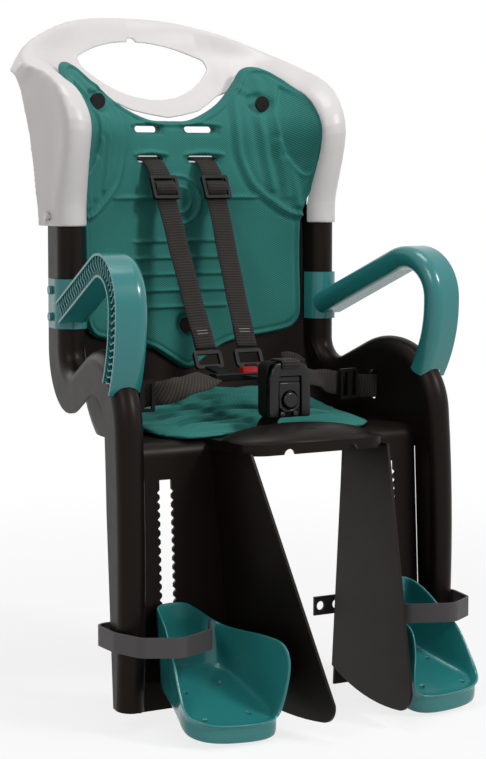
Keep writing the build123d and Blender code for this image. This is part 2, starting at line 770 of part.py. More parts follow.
floor_drop = tan(radians(foot_slope))
toe_depth = 2 * foot_inner_front[1]
with BuildPart() as foot_cavity:
    extrude(to_extrude=foot_outline(foot_wall, True), amount=2 * (foot_top - foot_bottom))
    with BuildSketch(wall_side()):
        with BuildLine():
            Polyline(
                (0, foot_floor),
                (toe_depth, foot_floor + toe_depth * floor_drop),
                (toe_depth, foot_top - foot_bottom),
                (0, foot_top - foot_bottom),
                close=True,
            )
        make_face()
    extrude(amount=2 * foot_outer_front[0], mode=Mode.INTERSECT)
    floor_edges = foot_cavity.faces().sort_by(Axis.Z)[0].edges().sort_by(Axis.Y)
    fillet(floor_edges[1:], foot_floor_radius)
with BuildPart() as foot_hollow:
    extrude(to_extrude=foot_outline(foot_wall, False), amount=foot_top - foot_bottom)
    under_floor = foot_floor - foot_wall / cos(radians(foot_slope))
    with BuildSketch(wall_side()):
        with BuildLine():
            Polyline(
                (0, under_floor),
                (toe_depth, under_floor + toe_depth * floor_drop),
                (toe_depth, 2 * foot_bottom),
                (0, 2 * foot_bottom),
                close=True,
            )
        make_face()
    extrude(amount=2 * foot_outer_front[0], mode=Mode.INTERSECT)
with BuildPart() as footrest:
    extrude(to_extrude=foot_outline(0, False), amount=foot_top - foot_bottom)
    add(foot_cavity.part, mode=Mode.SUBTRACT)
    add(foot_hollow.part, mode=Mode.SUBTRACT)
    # Underside, parallel to the floor
    with BuildSketch(wall_side()):
        with BuildLine():
            Polyline(
                (foot_wall, foot_floor - foot_lip + foot_wall * floor_drop),
                (toe_depth, foot_floor - foot_lip + toe_depth * floor_drop),
                (toe_depth, 2 * foot_bottom),
                (foot_wall, 2 * foot_bottom),
                close=True,
            )
        make_face()
    extrude(amount=2 * foot_outer_front[0], mode=Mode.SUBTRACT)
    # Tops of the inner and the outer wall, and the toe's front
    with BuildSketch(wall_front(foot_wall)):
        with BuildLine():
            shoulder = Spline(*foot_shoulder)
            Polyline(shoulder @ 1, (foot_shoulder[-1][0], 0), (foot_split_x, 0), shoulder @ 0)
        make_face()
    extrude(amount=-toe_depth, mode=Mode.SUBTRACT)
    with BuildSketch(wall_side(foot_split_x)):
        with BuildLine():
            Spline(*foot_outer_edge)
            outer_end = foot_outer_edge[-1]
            Polyline(outer_end, (toe_depth, outer_end[1]), (toe_depth, 0), (foot_outer_edge[0][0], 0))
            Line((foot_outer_edge[0][0], 0), foot_outer_edge[0])
        make_face()
    extrude(amount=foot_split_x, mode=Mode.SUBTRACT)
    with BuildSketch(wall_side()):
        with BuildLine():
            Spline(*foot_inner_edge)
            inner_end = foot_inner_edge[-1]
            Polyline(inner_end, (toe_depth, inner_end[1]), (toe_depth, 0), (foot_inner_edge[0][0], 0))
            Line((foot_inner_edge[0][0], 0), foot_inner_edge[0])
        make_face()
    extrude(amount=foot_split_x, mode=Mode.SUBTRACT)
    # Drain holes
    with BuildSketch(wall_plane(foot_bottom)):
        with Locations(*drain_places):
            Circle(drain_radius)
    extrude(amount=foot_floor - foot_bottom + foot_floor_radius, mode=Mode.SUBTRACT)
    # Neck through the toothed slot
    with BuildSketch(wall_front(shell_wall + fit_gap)):
        with Locations((guard_slot_x, neck_z)):
            Rectangle(neck_width, neck_height)
    extrude(amount=shell_wall + fit_gap + foot_wall_gap + foot_wall)
    with BuildSketch(wall_front(shell_wall + 2 * fit_gap)):
        with Locations((guard_slot_x, neck_z)):
            with GridLocations(1, catch_screw_pitch, 1, 2):
                Circle(screw_radius + fit_gap)
    extrude(amount=catch_screw_depth, mode=Mode.SUBTRACT)
save_pair(main_solid(footrest.part), "footrest")

# Catch plate behind the leg guard, with the peg for the foot strap
catch_front = shell_wall + 2 * fit_gap
catch_back = catch_front + catch_wall
with BuildPart() as footrest_catch:
    with BuildSketch(wall_front(catch_back)) as catch_plan:
        with Locations((guard_slot_x, neck_z)):
            RectangleRounded(*catch_size, screw_head_radius)
            with GridLocations(1, catch_screw_pitch, 1, 2):
                Circle(screw_radius + fit_gap, mode=Mode.SUBTRACT)
            Circle(peg_radius + fit_gap, mode=Mode.SUBTRACT)
    extrude(amount=catch_wall)
save_pair(footrest_catch.part, "footrest_catch")
with BuildPart() as catch_fasteners:
    with BuildSketch(wall_front(catch_back + fit_gap)):
        for x in (-guard_slot_x, guard_slot_x):
            with Locations((x, neck_z)):
                with GridLocations(1, catch_screw_pitch, 1, 2):
                    Circle(screw_head_radius)
    extrude(amount=-screw_head_height)
    with BuildSketch(wall_front(catch_back + fit_gap)):
        for x in (-guard_slot_x, guard_slot_x):
            with Locations((x, neck_z)):
                with GridLocations(1, catch_screw_pitch, 1, 2):
                    Circle(screw_radius)
    extrude(amount=catch_screw_depth)
for side, middle in (("left", -guard_slot_x), ("right", guard_slot_x)):
    screws = catch_fasteners.part.solids().filter_by(lambda solid: solid.center().X * middle > 0)
    save(Compound(children=list(screws)), f"catch_screws_{side}")
band_y = band_route[-1][1]
peg_length = band_y + band_wall / 2 + 2 * fit_gap - wall_y(neck_z) - catch_front
with BuildPart() as strap_peg:
    with BuildSketch(wall_front(catch_front + fit_gap)):
        with Locations((guard_slot_x, neck_z)):
            Circle(peg_radius)
    extrude(amount=-peg_length)
    with BuildSketch(wall_front(catch_front + fit_gap + peg_length)):
        with Locations((guard_slot_x, neck_z)):
            Circle(2 * peg_radius)
    extrude(amount=-band_wall)
save_pair(strap_peg.part, "strap_peg")

# Foot strap of the right side, with its keyholes
with BuildLine(Plane.XY.offset(band_z)) as band_line:
    FilletPolyline(*band_route, radius=band_bend)
with BuildSketch(Plane(origin=band_line.line @ 0, x_dir=(0, 0, 1), z_dir=band_line.line % 0)) as band_profile:
    Rectangle(band_height, band_wall)
with BuildPart() as foot_strap:
    sweep(sections=band_profile.sketch, path=band_line.line)
    with BuildSketch(Plane.XZ.offset(-band_y - band_height)):
        with Locations((guard_slot_x, neck_z), *[(x, band_z) for x in keyhole_places]):
            Circle(keyhole_radius)
    extrude(amount=2 * band_height, mode=Mode.SUBTRACT)
save_pair(foot_strap.part, "foot_strap")


# Pads: the back pad follows the back panel, a gap in front of it
def pad_section(z, middle, side):
    """Level face of the back pad."""
    return bucket_section(z, middle - soft_gap - pad_thickness, side - soft_gap - pad_thickness, pad_thickness)


pad_sections = [pad_section(*level) for level in zip(pad_heights, pad_middle, pad_side)]
pad_right_edge = [pad_corner, *pad_side_edge, *pad_horn, *pad_top_edge]
with BuildPart() as back_pad:
    loft(sections=pad_sections, ruled=True)
    with BuildSketch(Plane.XZ.offset(-pad_middle[-1] - pad_thickness)):
        with BuildLine():
            lower = Polyline((0, pad_tip), *pad_lower_edge, pad_corner)
            edge = Spline(*pad_right_edge)
            Polyline(edge @ 1, (0, pad_top_edge[-1][1]), (0, pad_tip))
        make_face()
        mirror(about=Plane.YZ)
    extrude(amount=2 * pad_middle[-1], mode=Mode.INTERSECT)
    with BuildSketch(Plane.XZ.offset(-panel_middle[-1] - 2 * shell_wall)):
        for height in shoulder_slot_heights:
            with Locations((-shoulder_slot_x, height), (shoulder_slot_x, height)):
                SlotOverall(*shoulder_slot_size)
        with Locations(*[(x, z) for x, z, y in snap_places]):
            Circle(snap_radius + soft_gap)
    extrude(amount=2 * pad_middle[-1], mode=Mode.SUBTRACT)
save(main_solid(back_pad.part), "back_pad")
seat_pad_base = pan_top + soft_gap
seat_pad_top = seat_pad_base + seat_pad_thickness
seat_pad_rear_y = tub_middle[0] - soft_gap
seat_pad_plan = tub_outline(
    seat_pad_base,
    seat_pad_rear_y,
    tub_side[0] - soft_gap,
    tub_corner[0],
    nose_radius + shell_wall,
    seat_pad_front_y,
)
with BuildPart() as seat_pad:
    with BuildSketch(Plane.XY.offset(seat_pad_base)) as seat_pad_strip:
        with Locations((0, seat_pad_front_y)):
            Rectangle(2 * seat_pad_half_width, 2 * seat_pad_half_width, align=(Align.CENTER, Align.MIN))
        fillet(seat_pad_strip.vertices().group_by(Axis.Y)[0], seat_pad_corner)
        with Locations((0, pommel_dome_y)):
            Ellipse(pommel_dome[0] + shell_wall, pommel_dome[1] + shell_wall, mode=Mode.SUBTRACT)
        with Locations((0, pan_slot_y)):
            Rectangle(pan_slot_size[0] + 2 * shell_wall, 2 * pan_slot_size[1], mode=Mode.SUBTRACT)
    extrude(amount=seat_pad_thickness + seat_pad_rear_rise)
    extrude(to_extrude=seat_pad_plan, amount=seat_pad_thickness + seat_pad_rear_rise, mode=Mode.INTERSECT)
    # Its top rises towards the back
    with BuildSketch(Plane.YZ):
        with BuildLine():
            rise = ThreePointArc(
                (seat_pad_front_y, seat_pad_top),
                ((seat_pad_front_y + seat_pad_rear_y) / 2, seat_pad_top + seat_pad_middle_rise),
                (seat_pad_rear_y, seat_pad_top + seat_pad_rear_rise),
            )
            Polyline(rise @ 1, (seat_pad_rear_y, seat_pad_base), (seat_pad_front_y, seat_pad_base), rise @ 0)
        make_face()
    extrude(amount=seat_pad_half_width, both=True, mode=Mode.INTERSECT)
save(main_solid(seat_pad.part), "seat_pad")
with BuildPart() as pad_snaps:
    for x, z, y in snap_places:
        with BuildSketch(Plane.XZ.offset(-y + soft_gap + pad_thickness + soft_gap)):
            with Locations((x, z)):
                Circle(snap_radius)
        extrude(amount=snap_height)
save(pad_snaps.part, "pad_snaps")

# Harness: shoulder strap of the right side with its slide, loop and bar
def strap_along(route, bend, across):
    """Webbing swept along a route, its width along a direction."""
    with BuildLine() as line:
        FilletPolyline(*route, radius=bend)
    start = line.line % 0
    with BuildSketch(Plane(origin=line.line @ 0, x_dir=across, z_dir=start)) as profile:
        Rectangle(webbing, webbing_wall)
    with BuildPart() as strap:
        sweep(sections=profile.sketch, path=line.line)
    return strap.part


def plane_between(start, end, across, lift):
    """Plane in the middle of a strap run: local x across, local y along it, a lift off its front."""
    along = (Vector(end) - Vector(start)).normalized()
    out = Vector(across).cross(along).normalized()
    return Plane(origin=(Vector(start) + Vector(end)) / 2, x_dir=across, z_dir=out).offset(lift)


shoulder_strap = strap_along(shoulder_route, shoulder_bend, (1, 0, 0))
save_pair(shoulder_strap, "shoulder_strap")
run_top = Vector(shoulder_route[2])
run_end = Vector(shoulder_route[3])
run = (run_end - run_top).normalized()
slide_top = run_top + run * (shoulder_bend / 2)
slide_end = slide_top + run * adjuster_size[1]
slide_plane = plane_between(slide_end, slide_top, (1, 0, 0), 0)
slide_lift = webbing_wall / 2 + soft_gap
with BuildPart() as shoulder_adjuster:
    with BuildSketch(slide_plane.offset(slide_lift)) as slide_plan:
        RectangleRounded(adjuster_size[0], adjuster_size[1], adjuster_rail / 2)
        with GridLocations(1, adjuster_size[1] / 2 - adjuster_rail / 4, 1, 2):
            Rectangle(webbing + 2 * soft_gap, adjuster_size[1] / 2 - 3 * adjuster_rail / 2, mode=Mode.SUBTRACT)
    extrude(amount=adjuster_size[2])
save_pair(shoulder_adjuster.part, "shoulder_adjuster")
loop_top = run_end + run * (2 * fit_gap)
loop_foot = loop_top + run * loop_size[1]
loop_plane = plane_between(loop_foot, loop_top, (1, 0, 0), 0)
yoke_rear = yoke_center[1] + yoke_size[1] / 2
tongue_tip = Vector(tongue_x, yoke_rear + tongue_wall / 2, yoke_center[2])
tongue_start = loop_foot - run * (loop_rail / 2)
with BuildPart() as strap_loop:
    with BuildSketch(loop_plane.offset(-loop_size[2] / 2)) as loop_plan:
        RectangleRounded(loop_size[0], loop_size[1], loop_rail)
        Rectangle(webbing + 2 * soft_gap, loop_size[1] - 2 * loop_rail, mode=Mode.SUBTRACT)
    extrude(amount=loop_size[2])
    tongue_way = tongue_tip - tongue_start
    with BuildSketch(Plane(origin=tongue_start, x_dir=(1, 0, 0), z_dir=tongue_way)):
        Rectangle(tongue_width, tongue_wall)
    extrude(amount=tongue_way.length)
save_pair(strap_loop.part, "strap_loop")
bar_start = Vector(shoulder_route[0]) + Vector(0, soft_gap + peg_radius, 0)
with BuildPart() as strap_bar:
    with BuildSketch(Plane.YZ.offset(shoulder_slot_x - webbing)):
        with Locations((bar_start.Y, bar_start.Z)):
            Circle(peg_radius)
    extrude(amount=2 * webbing)
save_pair(strap_bar.part, "strap_bar")

# Lap strap of the right side with its slide
save_pair(strap_along(lap_route, lap_bend, (0, 0, 1)), "lap_strap")
lap_plane = plane_between(lap_route[1], lap_route[2], (0, 0, 1), 0)
with BuildPart() as lap_adjuster:
    with BuildSketch(lap_plane.offset(-slide_lift)):
        RectangleRounded(adjuster_size[0], adjuster_size[1], adjuster_rail / 2)
        with GridLocations(1, adjuster_size[1] / 2 - adjuster_rail / 4, 1, 2):
            Rectangle(webbing + 2 * soft_gap, adjuster_size[1] / 2 - 3 * adjuster_rail / 2, mode=Mode.SUBTRACT)
    extrude(amount=-adjuster_size[2])
save_pair(lap_adjuster.part, "lap_adjuster")

# Tongue bar with its red release button
buckle_rear = buckle_y + buckle_size[1] / 2
yoke_top = yoke_center[2] + yoke_size[2] / 2
with BuildPart() as tongue_bar:
    with Locations(yoke_center):
        Box(*yoke_size)
    fillet(tongue_bar.edges().filter_by(Axis.X), tongue_wall / 2)
    with BuildSketch(Plane.XZ.offset(-yoke_center[1])):
        with Locations((0, yoke_center[2])):
            Rectangle(yoke_tongue_width, tongue_wall)
    extrude(amount=yoke_center[1] - buckle_rear + buckle_wall + soft_gap)
    with BuildSketch(Plane.XY.offset(yoke_top)):
        with Locations((0, yoke_center[1])):
            Rectangle(release_size[0] + 2 * soft_gap, release_size[1] + 2 * soft_gap)
    extrude(amount=-release_travel - 2 * fit_gap, mode=Mode.SUBTRACT)
save(tongue_bar.part, "tongue_bar")
with BuildPart() as release_button:
    with BuildSketch(Plane.XY.offset(yoke_top - fit_gap)):
        with Locations((0, yoke_center[1])):
            RectangleRounded(release_size[0], release_size[1], tongue_wall / 2)
    extrude(amount=release_size[2])
save(release_button.part, "release_button")

# Buckle: housing, front cover and push button
buckle_front = buckle_y - buckle_size[1] / 2
buckle_middle = buckle_base + buckle_size[2] / 2
with BuildPart() as buckle_housing:
    with BuildSketch(Plane.XZ.offset(-buckle_rear)) as housing_plan:
        with Locations((0, buckle_middle)):
            RectangleRounded(buckle_size[0], buckle_size[2], buckle_corner)
    extrude(amount=buckle_size[1])
    with BuildSketch(Plane.XZ.offset(-buckle_front)) as housing_hollow:
        with Locations((0, buckle_middle)):
            RectangleRounded(
                buckle_size[0] - 2 * buckle_wall, buckle_size[2] - 2 * buckle_wall, buckle_corner - buckle_wall
            )
    extrude(amount=-buckle_size[1] + buckle_wall, mode=Mode.SUBTRACT)
    with BuildSketch(Plane.XZ.offset(-buckle_rear)):
        with Locations((0, yoke_center[2])):
            Rectangle(yoke_tongue_width + 2 * fit_gap, tongue_wall + 2 * fit_gap)
    extrude(amount=2 * buckle_wall, both=True, mode=Mode.SUBTRACT)
save(buckle_housing.part, "buckle_housing")
cover_back = buckle_front - fit_gap
with BuildPart() as buckle_cover:
    with BuildSketch(Plane.XZ.offset(-cover_back)):
        with Locations((0, buckle_middle)):
            RectangleRounded(buckle_size[0], buckle_size[2], buckle_corner)
    extrude(amount=cover_depth)
    fillet(buckle_cover.edges().group_by(Axis.Y)[0], buckle_wall)
    with BuildSketch(Plane.XZ.offset(-cover_back)) as opening:
        with Locations((0, button_z)):
            Rectangle(*cover_opening)
        chamfer(opening.vertices(), cover_cut)
    extrude(amount=cover_depth, mode=Mode.SUBTRACT)
save(buckle_cover.part, "buckle_cover")
button_front = cover_back - cover_depth - button_dome
button_length = cover_depth + 2 * button_dome + running_gap
with BuildPart() as buckle_button:
    with BuildSketch(Plane.XZ.offset(-button_front)):
        with Locations((0, button_z)):
            Circle(button_radius)
    extrude(amount=-button_length)
    fillet(buckle_button.edges().group_by(Axis.Y)[0], button_dome)
    with BuildSketch(Plane.XZ.offset(-button_front - button_length)):
        with Locations((0, button_z)):
            Circle(button_flange)
    extrude(amount=button_dome)
save(buckle_button.part, "buckle_button")

# Crotch strap: up from the pan to the buckle's back, and the end wrapped over its top
crotch_y = buckle_rear + soft_gap + webbing_wall / 2
wrap_z = buckle_base + buckle_size[2] + soft_gap + webbing_wall / 2
crotch_route = (
    (pan_slot_y, crotch_low), (pan_slot_y, crotch_rise), (crotch_y, crotch_turn), (crotch_y, crotch_high)
)
wrap_route = ((crotch_y, wrap_low), (crotch_y, wrap_z), (buckle_front - cover_depth, wrap_z))
with BuildPart() as crotch_strap:
    for route, bend in ((crotch_route, crotch_bend), (wrap_route, wrap_bend)):
        with BuildLine(Plane.YZ) as crotch_line:
            FilletPolyline(*route, radius=bend)
        start = crotch_line.line % 0
        with BuildSketch(Plane(origin=crotch_line.line @ 0, x_dir=(1, 0, 0), z_dir=start)) as crotch_profile:
            Rectangle(webbing, webbing_wall)
        sweep(path=crotch_line.line)
save(crotch_strap.part, "crotch_strap")

# Carrier block with its rod bores and screws
block_top = block_height - fit_gap
with BuildPart() as carrier_block:
    with BuildSketch() as block_plan:
        RectangleRounded(*block_size, screw_head_radius)
        with GridLocations(*block_screw_pitch, 2, 2):
            Circle(screw_radius + fit_gap, mode=Mode.SUBTRACT)
    extrude(amount=block_top)
    with BuildSketch():
        with GridLocations(*block_screw_pitch, 2, 2):
            Circle(screw_head_radius + fit_gap)
    extrude(amount=screw_head_height + 2 * fit_gap, mode=Mode.SUBTRACT)
    with BuildSketch(Plane.XZ.offset(block_size[1] / 2)):
        with Locations((-rod_spacing / 2, rod_height), (rod_spacing / 2, rod_height)):
            Circle(rod_diameter / 2)
    extrude(amount=-block_size[1], mode=Mode.SUBTRACT)
save(carrier_block.part, "carrier_block")
with BuildPart() as carrier_screws:
    with BuildSketch(Plane.XY.offset(fit_gap)):
        with GridLocations(*block_screw_pitch, 2, 2):
            Circle(screw_head_radius)
    extrude(amount=screw_head_height)
    with BuildSketch(Plane.XY.offset(fit_gap)):
        with GridLocations(*block_screw_pitch, 2, 2):
            Circle(screw_radius)
    extrude(amount=pan_top - 2 * fit_gap)
save(carrier_screws.part, "carrier_screws")
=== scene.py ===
"""Child bike seat: finishes, pads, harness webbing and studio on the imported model."""

import logging
import math
from dataclasses import dataclass
from enum import Enum
from typing import Iterable, Sequence

import bmesh
import bpy
import numpy as np
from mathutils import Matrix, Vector


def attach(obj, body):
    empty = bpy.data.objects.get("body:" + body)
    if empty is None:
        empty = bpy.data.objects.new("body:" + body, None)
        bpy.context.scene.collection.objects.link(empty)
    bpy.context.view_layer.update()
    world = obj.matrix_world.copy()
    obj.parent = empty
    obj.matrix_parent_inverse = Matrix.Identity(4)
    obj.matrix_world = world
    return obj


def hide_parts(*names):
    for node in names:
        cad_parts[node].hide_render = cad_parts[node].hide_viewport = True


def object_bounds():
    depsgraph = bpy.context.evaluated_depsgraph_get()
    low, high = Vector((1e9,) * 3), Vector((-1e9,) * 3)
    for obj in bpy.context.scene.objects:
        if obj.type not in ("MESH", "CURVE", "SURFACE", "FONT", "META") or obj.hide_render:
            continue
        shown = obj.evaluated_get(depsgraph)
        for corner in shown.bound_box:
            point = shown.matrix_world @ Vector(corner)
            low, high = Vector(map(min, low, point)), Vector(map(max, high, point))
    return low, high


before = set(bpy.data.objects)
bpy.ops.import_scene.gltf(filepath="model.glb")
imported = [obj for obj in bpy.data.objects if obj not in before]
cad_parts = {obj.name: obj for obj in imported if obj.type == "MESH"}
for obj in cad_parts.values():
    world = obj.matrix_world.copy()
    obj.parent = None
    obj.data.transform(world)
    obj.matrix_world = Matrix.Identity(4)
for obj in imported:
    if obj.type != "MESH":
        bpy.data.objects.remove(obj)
CAD_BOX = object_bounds()

log = logging.getLogger("bike_seat")

Point2 = tuple[float, float]
Point3 = tuple[float, float, float]
Colour = tuple[float, float, float, float]
Faces = list[tuple[int, ...]]

MM = 0.001
TINY = 1e-9
WHITE: Colour = (1.0, 1.0, 1.0, 1.0)
SEAT = "seat"
SIDES = {"left": -1.0, "right": 1.0}
SIDEWAYS: Point3 = (1.0, 0.0, 0.0)
STRAP_MAP = "strap"
FINE_DETAIL = 2.0
# Radians that the wave texture turns through in one unit of its scale.
WAVE_PHASE = 20.0
# The colour sockets of the mix node, which share their names with its other sockets.
MIX_DARK, MIX_LIGHT, MIX_COLOUR = 6, 7, 2


class Finish(Enum):
    """The finishes of the seat, by the record's material slot."""

    SHELL = "shell_black"
    FRAME = "frame_white"
    TEAL = "teal_plastic"
    PAD = "teal_pad"
    WEBBING = "webbing"
    BLACK = "black_plastic"
    RED = "red_plastic"
    RUBBER = "rubber"
    STEEL = "steel"


def linear(red: float, green: float, blue: float) -> Colour:
    """A display colour as the renderer's linear colour.

    Args:
        red, green, blue: Display values from 0 to 255.

    Returns:
        Linear red, green, blue and an alpha of 1.
    """
    shares = [value / 255.0 for value in (red, green, blue)]
    lit = [s / 12.92 if s <= 0.04045 else ((s + 0.055) / 1.055) ** 2.4 for s in shares]
    return lit[0], lit[1], lit[2], 1.0


class Graph:
    """A material's node tree, with short calls that add and join nodes."""

    def __init__(self, name: str) -> None:
        """Starts a material with one principled shader.

        Args:
            name: The material's name.
        """
        self.material = bpy.data.materials.new(name)
        self.material.use_nodes = True
        self.tree = self.material.node_tree
        self.shader = self.tree.nodes["Principled BSDF"]

    def add(self, kind: str, **settings: object) -> bpy.types.Node:
        """Adds a node.

        Args:
            kind: The node's type name.
            settings: Node properties, or input values by socket name with spaces as underscores.

        Returns:
            The new node.
        """
        node = self.tree.nodes.new(kind)
        for key, value in settings.items():
            socket = node.inputs.get(key.replace("_", " "))
            if socket is not None:
                socket.default_value = value
            else:
                setattr(node, key, value)
        return node

    def join(self, source: bpy.types.NodeSocket, target: bpy.types.NodeSocket) -> None:
        """Links two sockets."""
        self.tree.links.new(source, target)

    def place(self) -> bpy.types.NodeSocket:
        """The socket of the surface's place in the object's frame, in metres."""
        return self.add("ShaderNodeTexCoord").outputs["Object"]

    def noise(self, place: bpy.types.NodeSocket, scale: float, detail: float = 3.0) -> bpy.types.NodeSocket:
        """A noise value.

        Args:
            place: Coordinates.
            scale: Cells per metre.
            detail: Octaves.

        Returns:
            The noise node's value socket.
        """
        node = self.add("ShaderNodeTexNoise", Scale=scale, Detail=detail)
        self.join(place, node.inputs["Vector"])
        return node.outputs["Fac"]

    def bands(
        self, place: bpy.types.NodeSocket, axis: str, pitch: float, detail: float = 0.0, waver: float = 0.0
    ) -> bpy.types.NodeSocket:
        """A value that rises and falls in even bands.

        Args:
            place: Coordinates, in metres.
            axis: The axis on which the bands follow each other.
            pitch: The distance from band to band, in metres.
            detail: Octaves of the noise that bends the bands.
            waver: How far it bends them.

        Returns:
            The wave node's value socket.
        """
        node = self.add("ShaderNodeTexWave", wave_type="BANDS", bands_direction=axis, Detail=detail)
        node.inputs["Scale"].default_value = math.tau / (WAVE_PHASE * pitch)
        node.inputs["Distortion"].default_value = waver
        self.join(place, node.inputs["Vector"])
        return node.outputs["Fac"]

    def spread(self, value: bpy.types.NodeSocket, low: float, high: float) -> bpy.types.NodeSocket:
        """A value from 0 to 1 spread over another range.

        Args:
            value: The value's socket.
            low: What 0 becomes.
            high: What 1 becomes.

        Returns:
            The spread value's socket.
        """
        node = self.add("ShaderNodeMapRange")
        node.inputs["To Min"].default_value = low
        node.inputs["To Max"].default_value = high
        self.join(value, node.inputs["Value"])
        return node.outputs["Result"]

    def sum(self, *values: bpy.types.NodeSocket) -> bpy.types.NodeSocket:
        """The sum of some values.

        Args:
            values: Their sockets.

        Returns:
            The sum's socket.
        """
        total = values[0]
        for value in values[1:]:
            node = self.add("ShaderNodeMath", operation="ADD")
            self.join(total, node.inputs[0])
            self.join(value, node.inputs[1])
            total = node.outputs[0]
        return total

    def tint(self, value: bpy.types.NodeSocket, dark: Colour, light: Colour) -> bpy.types.NodeSocket:
        """A colour between two.

        Args:
            value: A value from 0 to 1.
            dark: The colour at 0.
            light: The colour at 1.

        Returns:
            The colour's socket.
        """
        node = self.add("ShaderNodeMix", data_type="RGBA")
        node.inputs[MIX_DARK].default_value = dark
        node.inputs[MIX_LIGHT].default_value = light
        self.join(value, node.inputs[0])
        return node.outputs[MIX_COLOUR]

    def bump(self, height: bpy.types.NodeSocket, depth: float, strength: float) -> None:
        """Gives the shader a bump.

        Args:
            height: The height's socket.
            depth: How deep it is, in metres.
            strength: How much of it shows.
        """
        node = self.add("ShaderNodeBump", Strength=strength, Distance=depth)
        self.join(height, node.inputs["Height"])
        self.join(node.outputs["Normal"], self.shader.inputs["Normal"])


@dataclass(frozen=True)
class MouldedPlastic:
    """A moulded plastic or rubber: fine grain, uneven gloss and slight mottling.

    Scales are cells per metre, and depth is in metres.
    """

    name: str
    colour: Colour
    shade: float = 0.88
    rough: Point2 = (0.38, 0.5)
    mottle_scale: float = 14.0
    gloss_scale: float = 60.0
    grain: float = 900.0
    depth: float = 0.00012
    strength: float = 0.25
    specular: float = 0.5
    gleam: Colour = WHITE
    coat: float = 0.0
    coat_rough: float = 0.12
    metallic: float = 0.0

    def make(self) -> bpy.types.Material:
        """Builds the material.

        Returns:
            The new material.
        """
        graph = Graph(self.name)
        place = graph.place()
        mottle = graph.noise(place, self.mottle_scale)
        gloss = graph.noise(place, self.gloss_scale)
        grain = graph.noise(place, self.grain, FINE_DETAIL)
        red, green, blue, alpha = self.colour
        dark = (red * self.shade, green * self.shade, blue * self.shade, alpha)
        sockets = graph.shader.inputs
        graph.join(graph.tint(mottle, dark, self.colour), sockets["Base Color"])
        graph.join(graph.spread(gloss, *self.rough), sockets["Roughness"])
        sockets["Specular IOR Level"].default_value = self.specular
        sockets["Specular Tint"].default_value = self.gleam
        sockets["Coat Weight"].default_value = self.coat
        sockets["Coat Roughness"].default_value = self.coat_rough
        sockets["Metallic"].default_value = self.metallic
        graph.bump(grain, self.depth, self.strength)
        return graph.material


@dataclass(frozen=True)
class TwillCloth:
    """The pads' cloth: diagonal twill lines over a foam backing.

    Pitch and depth are in metres, and scales are cells per metre.
    """

    name: str
    colour: Colour
    dark: Colour
    pitch: float = 0.0021
    lean: float = math.radians(33.0)
    detail: float = 1.5
    waver: float = 0.6
    twill_share: float = 0.72
    mottle_scale: float = 22.0
    fibre_scale: float = 2600.0
    fibre_relief: float = 0.4
    depth: float = 0.00035
    strength: float = 0.5
    rough: Point2 = (0.62, 0.8)
    specular: float = 0.15
    sheen: float = 0.04
    sheen_rough: float = 0.5

    def make(self) -> bpy.types.Material:
        """Builds the material.

        Returns:
            The new material.
        """
        graph = Graph(self.name)
        place = graph.place()
        turn = graph.add("ShaderNodeMapping", Rotation=(0.0, -self.lean, 0.0))
        graph.join(place, turn.inputs["Vector"])
        twill = graph.bands(turn.outputs["Vector"], "Z", self.pitch, self.detail, self.waver)
        fibre = graph.noise(place, self.fibre_scale, FINE_DETAIL)
        mottle = graph.noise(place, self.mottle_scale)
        weave = graph.sum(
            graph.spread(twill, 0.0, self.twill_share), graph.spread(mottle, 0.0, 1.0 - self.twill_share)
        )
        sockets = graph.shader.inputs
        graph.join(graph.tint(weave, self.dark, self.colour), sockets["Base Color"])
        graph.join(graph.spread(fibre, *self.rough), sockets["Roughness"])
        sockets["Specular IOR Level"].default_value = self.specular
        sockets["Sheen Weight"].default_value = self.sheen
        sockets["Sheen Roughness"].default_value = self.sheen_rough
        relief = graph.sum(twill, graph.spread(fibre, 0.0, self.fibre_relief))
        graph.bump(relief, self.depth, self.strength)
        return graph.material


@dataclass(frozen=True)
class WovenWebbing:
    """Harness webbing: ribs across the strap and fine threads along it.

    Its UV map runs along and across the strap. Pitches and depth are in metres.
    """

    name: str
    colour: Colour
    dark: Colour
    rib: float = 0.0017
    rib_detail: float = 1.0
    thread: float = 0.0011
    slant: float = 0.0
    waver: float = 0.8
    fuzz_scale: float = 900.0
    shares: Point3 = (0.55, 0.2, 0.25)
    depth: float = 0.0004
    strength: float = 0.6
    rough: Point2 = (0.55, 0.75)
    specular: float = 0.18
    sheen: float = 0.05

    def make(self) -> bpy.types.Material:
        """Builds the material.

        Returns:
            The new material.
        """
        graph = Graph(self.name)
        lay = graph.add("ShaderNodeUVMap", uv_map=STRAP_MAP)
        turn = graph.add("ShaderNodeMapping", Rotation=(0.0, 0.0, self.slant))
        graph.join(lay.outputs["UV"], turn.inputs["Vector"])
        ribs = graph.bands(turn.outputs["Vector"], "X", self.rib, self.rib_detail, self.waver)
        threads = graph.bands(turn.outputs["Vector"], "Y", self.thread)
        fuzz = graph.noise(graph.place(), self.fuzz_scale)
        parts = zip((ribs, threads, fuzz), self.shares)
        weave = graph.sum(*(graph.spread(value, 0.0, share) for value, share in parts))
        sockets = graph.shader.inputs
        graph.join(graph.tint(weave, self.dark, self.colour), sockets["Base Color"])
        graph.join(graph.spread(fuzz, *self.rough), sockets["Roughness"])
        sockets["Specular IOR Level"].default_value = self.specular
        sockets["Sheen Weight"].default_value = self.sheen
        graph.bump(graph.sum(ribs, threads), self.depth, self.strength)
        return graph.material


